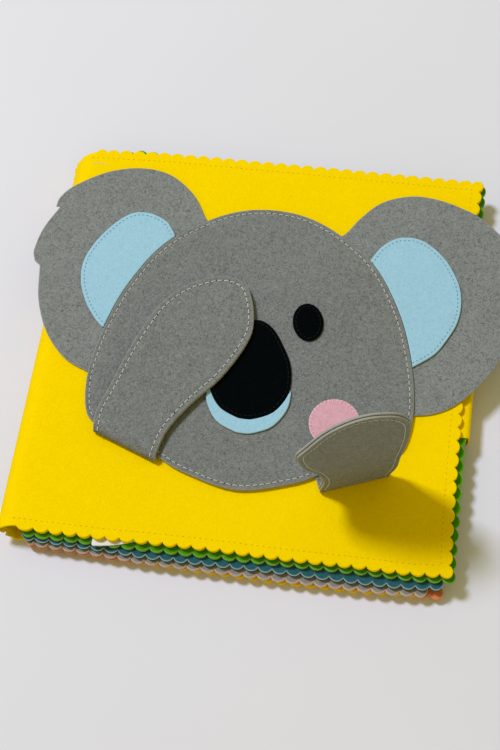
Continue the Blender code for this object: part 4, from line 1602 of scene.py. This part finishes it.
# The strap and the tab
@dataclass
class Strap:
    """The yellow strap that hangs over the fore-edge."""

    shop: Workshop

    BEND = 1.2 * MM
    SWAY = 0.5 * MM
    CORNER_CUT = 2.0 * MM
    RAGGED = (0.0, 0.35, 0.1, 0.45, 0.2, 0.0, 0.25)
    FOLD = (-0.8 * MM, 1.6 * MM)

    def build(self) -> None:
        """Builds the hidden root and the hanging strap as one bent sheet."""
        low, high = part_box("strap")
        root_low, root_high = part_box("strap_root")
        thick = root_high.z - root_low.z
        bend = self.BEND
        turn_x = high.x - thick / 2 - bend
        drop_start = root_low.z + thick / 2 - bend
        across = high.y - low.y
        flat = turn_x - root_low.x
        hang = drop_start - low.z
        arc = bend * math.pi / 2
        length = flat + arc + hang
        last = len(self.RAGGED) - 1
        bottom = [(length - cut * MM, low.y + across * k / last) for k, cut in enumerate(self.RAGGED)]
        bottom[0] = (bottom[0][0], bottom[0][1] + self.CORNER_CUT)
        outline = Outline([(0.0, low.y), *bottom, (0.0, high.y)]).refined(2.0 * MM)

        def hung(spot: Vector) -> Vector:
            """Places one point of the strap."""
            run = spot.x
            if run <= flat:
                return Vector((root_low.x + run, spot.y, root_low.z + thick / 2 + spot.z))
            if run <= flat + arc:
                angle = (run - flat) / bend
                radius = bend + spot.z
                x, z = radius * math.sin(angle), radius * math.cos(angle)
                return Vector((turn_x + x, spot.y, drop_start + z))
            drop = run - flat - arc
            sway = self.SWAY * math.sin(drop / hang * math.pi)
            return Vector((turn_x + bend + spot.z + sway, spot.y, drop_start - drop))

        cut = FeltCut("strap_felt", outline, -thick / 2, thick / 2, YELLOW, pitch=2.5 * MM, warp=hung)
        piece = cut.build()
        joint = Vector(self.shop.joint("strap_swing")["pos_m"])
        start, end = (Vector((joint.x + reach, 0, 0)) for reach in self.FOLD)
        bodies = ("front_cover", "closure_strap")
        self.shop.bend(piece, bodies, start, end, ("strap", "strap_root"), YELLOW.slot)
        self.shop.declare(piece, outline, Hold.FOLDED, ["leaf_1_front_felt"])
        LOG.info("strap: %.1f mm long", length / MM)


@dataclass
class EdgeTab:
    """The white tab sewn on the first leaf at the bottom edge."""

    shop: Workshop

    def build(self) -> None:
        """Builds the tab in place of its CAD node."""
        low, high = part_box("white_tab")
        outline = node_outline(self.shop.node("white_tab")).refined(1.5 * MM)
        piece = FeltCut("white_tab_ribbon", outline, low.z, high.z, RIBBON_WHITE, pitch=2.5 * MM).build()
        self.shop.settle(piece, "leaf_1", ("white_tab",), RIBBON_WHITE.slot)
        self.shop.declare(piece, outline, Hold.LAID, ["leaf_1_front_felt"])


@dataclass
class CornerStitches:
    """The few white stitches near the cover's top corner at the spine."""

    shop: Workshop
    ripple: Ripple

    BELOW_TOP = 10.6 * MM
    PLACES = (-100.6, -98.6, -96.6, -94.6)

    def build(self) -> None:
        """Sews the short row."""
        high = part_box("front_cover_lining")[1].y
        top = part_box("front_cover_outer")[1].z
        row = [Vector((x * MM, high - self.BELOW_TOP, top)) for x in self.PLACES]
        plan = StitchPlan(WHITE_THREAD, pitch=1.9 * MM, length=1.2 * MM, radius=0.24 * MM, arch=0.12 * MM)
        piece = self.shop.stitches.sew("corner_stitches", [row], plan)
        self.shop.settle(piece, "front_cover")


# The studio
@dataclass
class Studio:
    """The table, the lights and the camera."""

    camera_place: Vector = field(default_factory=lambda: Vector((0.061637, -0.277841, 0.67598)))
    camera_turn: Matrix = field(
        default_factory=lambda: Matrix(
            ((0.99054, -0.10511, 0.08817), (0.13051, 0.92005, -0.36943), (-0.04229, 0.37744, 0.92507))
        )
    )
    focal_share: float = 1400 / 750
    sensor: float = 36.0
    key_place: Point3 = (-1.03, 0.496, 2.27)
    key_target: Point3 = (0.0, 0.0, 0.03)
    key_size: float = 0.384
    key_power: float = 60.0
    key_colour: Colour = (0.71, 0.765, 1.0)
    bounce_place: Point3 = (0.25, -0.6, 0.14)
    bounce_target: Point3 = (0.055, -0.075, 0.065)
    bounce_power: float = 5.0
    bounce_colour: Colour = (1.0, 0.72, 0.0)
    bounce_cone: float = 13.0
    bounce_softness: float = 0.1
    room_level: float = 0.46
    room_colour: Colour = (1.0, 0.92, 0.46)
    backdrop_level: float = 0.8
    table: Colour = srgb(217, 215, 217)

    def build(self) -> None:
        """Builds the whole studio."""
        self.build_camera()
        self.build_table()
        self.build_lights()
        bpy.context.scene.view_settings.view_transform = "Standard"

    def build_camera(self) -> None:
        """Places the camera where the photograph was taken from."""
        data = bpy.data.cameras.new("camera")
        data.sensor_width = self.sensor
        data.lens = self.focal_share * self.sensor
        data.clip_start = 0.01
        camera = bpy.data.objects.new("camera", data)
        bpy.context.scene.collection.objects.link(camera)
        camera.matrix_world = Matrix.Translation(self.camera_place) @ self.camera_turn.to_4x4()
        bpy.context.scene.camera = camera

    def build_table(self) -> None:
        """Builds the pale, slightly glossy table."""
        bpy.ops.mesh.primitive_plane_add(size=6.0)
        table = bpy.context.object
        table.name = "table"
        material, sketch, shader = fresh_material("pale table")
        place = sketch.add("ShaderNodeTexCoord")
        cloud = sketch.cloud(place.outputs["Object"], 3.0)
        tone = sketch.maths("MULTIPLY_ADD", cloud.outputs["Fac"], 0.06, 0.97)
        toned = sketch.scaled(self.table, tone)
        sketch.feed(shader, Base_Color=toned, Roughness=0.3, Specular_IOR_Level=0.3)
        table.data.materials.append(material)

    def hang(self, data: bpy.types.Light, place: Point3, target: Point3) -> None:
        """Hangs a lamp that faces a target and isn't seen in the table's gloss.

        Args:
            data: The lamp's light.
            place: Where the lamp is.
            target: What it faces.
        """
        lamp = bpy.data.objects.new(data.name, data)
        bpy.context.scene.collection.objects.link(lamp)
        lamp.location = place
        lamp.rotation_euler = (Vector(target) - Vector(place)).to_track_quat("-Z", "Y").to_euler()
        lamp.visible_glossy = False

    def build_lights(self) -> None:
        """Lights the book softly from the upper left, as a window does.

        A narrow warm lamp stands for the light that the cover throws up on the raised arm.
        """
        key = bpy.data.lights.new("window", "AREA")
        key.size, key.energy, key.color = self.key_size, self.key_power, self.key_colour
        self.hang(key, self.key_place, self.key_target)
        bounce = bpy.data.lights.new("bounce", "SPOT")
        bounce.energy, bounce.color = self.bounce_power, self.bounce_colour
        bounce.spot_size, bounce.spot_blend = math.radians(self.bounce_cone), 1.0
        bounce.shadow_soft_size = self.bounce_softness
        self.hang(bounce, self.bounce_place, self.bounce_target)
        world = bpy.data.worlds.new("room")
        bpy.context.scene.world = world
        world.use_nodes = True
        sketch = NodeSketch(world.node_tree)
        ground = world.node_tree.nodes["Background"]
        ray = sketch.add("ShaderNodeLightPath")
        seen = sketch.maths("MAXIMUM", ray.outputs["Is Camera Ray"], ray.outputs["Is Glossy Ray"])
        seen = sketch.maths("MAXIMUM", seen, ray.outputs["Is Transmission Ray"])
        extra = self.backdrop_level - self.room_level
        strength = sketch.maths("MULTIPLY_ADD", seen, extra, self.room_level)
        colour = sketch.blend("MIX", seen, (*self.room_colour, 1.0), (1.0, 1.0, 1.0, 1.0))
        sketch.feed(ground, Color=colour, Strength=strength)


BOARDS = (
    ("back_cover", ("lining", "outer"), (YELLOW, YELLOW), (SHADED_YELLOW_THREAD, SHADED_YELLOW_THREAD), False),
    ("leaf_4", ("front", "back"), (ORANGE, ORANGE), (GREY_THREAD, GREY_THREAD), False),
    ("leaf_3", ("front", "back"), (LEAF_GREY, LEAF_GREY), (GREY_THREAD, GREY_THREAD), False),
    ("leaf_2", ("back", "front"), (NAVY, TEAL), (BLACK_THREAD, GREY_THREAD), True),
    ("leaf_1", ("back", "front"), (GREEN, GREEN), (GREEN_THREAD, GREEN_THREAD), True),
    ("front_cover", ("lining", "outer"), (YELLOW, YELLOW), (SHADED_YELLOW_THREAD, SHADED_YELLOW_THREAD), True),
)
DRIFTS = {
    "back_cover": Drift(hollow=0.0, hem=(-4, -7.5, -2.4, -1.4, -0.5, 0.4, 0.2, -0.8, -1.3, -1.8)),
    "leaf_4": Drift(hem=(-1.6, -1.6, 0, 0, 0, 0.6, 0.6, 0.3, 0, 0)),
    "leaf_3": Drift(hem=(-1.8, -1.4, 0, 0.9, 1.2, 1.7, 1.7, 1.5, 1.0, 0.5)),
    "leaf_2": Drift(hem=(-0.4, -0.2, 0.75, 1.6, 1.6, 1.35, 1.75, 1.65, 1.2, -0.1)),
    "leaf_1": Drift(tuft=2.4 * MM, hem=(1, 1.1, 1.3, 1.35, 1.15, 0.7, 0.3, 0.4, 0.5, -0.3)),
    "front_cover": Drift(
        bow=1.9 * MM, droop=1.6 * MM, hollow=0.0,
        hem=(0.8, 1.15, 1.2, 0.8, 0.45, 1.0, 0.7, 0.9, 0.7, 0),
    ),
}


def main() -> None:
    """Builds every sub-assembly in order, then the studio."""
    logging.basicConfig(level=logging.INFO, format="%(name)s %(message)s")
    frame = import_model()
    shop = Workshop(frame, StitchTree())
    spine = Vector(shop.joint("front_cover_turn")["pos_m"])
    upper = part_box("front_cover_outer")[1].z - spine.z
    lower = spine.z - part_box("back_cover_outer")[0].z
    cover_ripple = Ripple(0.5 * MM, 16.0, 3.0, spine.x + upper)
    Studio().build()
    flat = Ripple(0.0, 22.0, 0.0, 0.0)
    for k, (name, labels, finishes, threads, above) in enumerate(BOARDS):
        half = upper if above else lower
        ripple = Ripple(0.12 * MM, 22.0, 11.0 + k, spine.x + half)
        ripple = {"front_cover": cover_ripple, "back_cover": flat}.get(name, ripple)
        sheets = tuple(f"{name}_{label}" for label in labels)
        Board(shop, name, sheets, finishes, threads, above, spine, half, ripple, DRIFTS[name]).build()
    koala = Koala(shop, cover_ripple)
    koala.build()
    for side in Side:
        Ear(koala, side).build()
        Arm(koala, side, side is Side.RIGHT).build()
    Strap(shop).build()
    EdgeTab(shop).build()
    CornerStitches(shop, cover_ripple).build()
    LOG.info("%d pieces", len(shop.made))


if __name__ == "__main__":
    main()
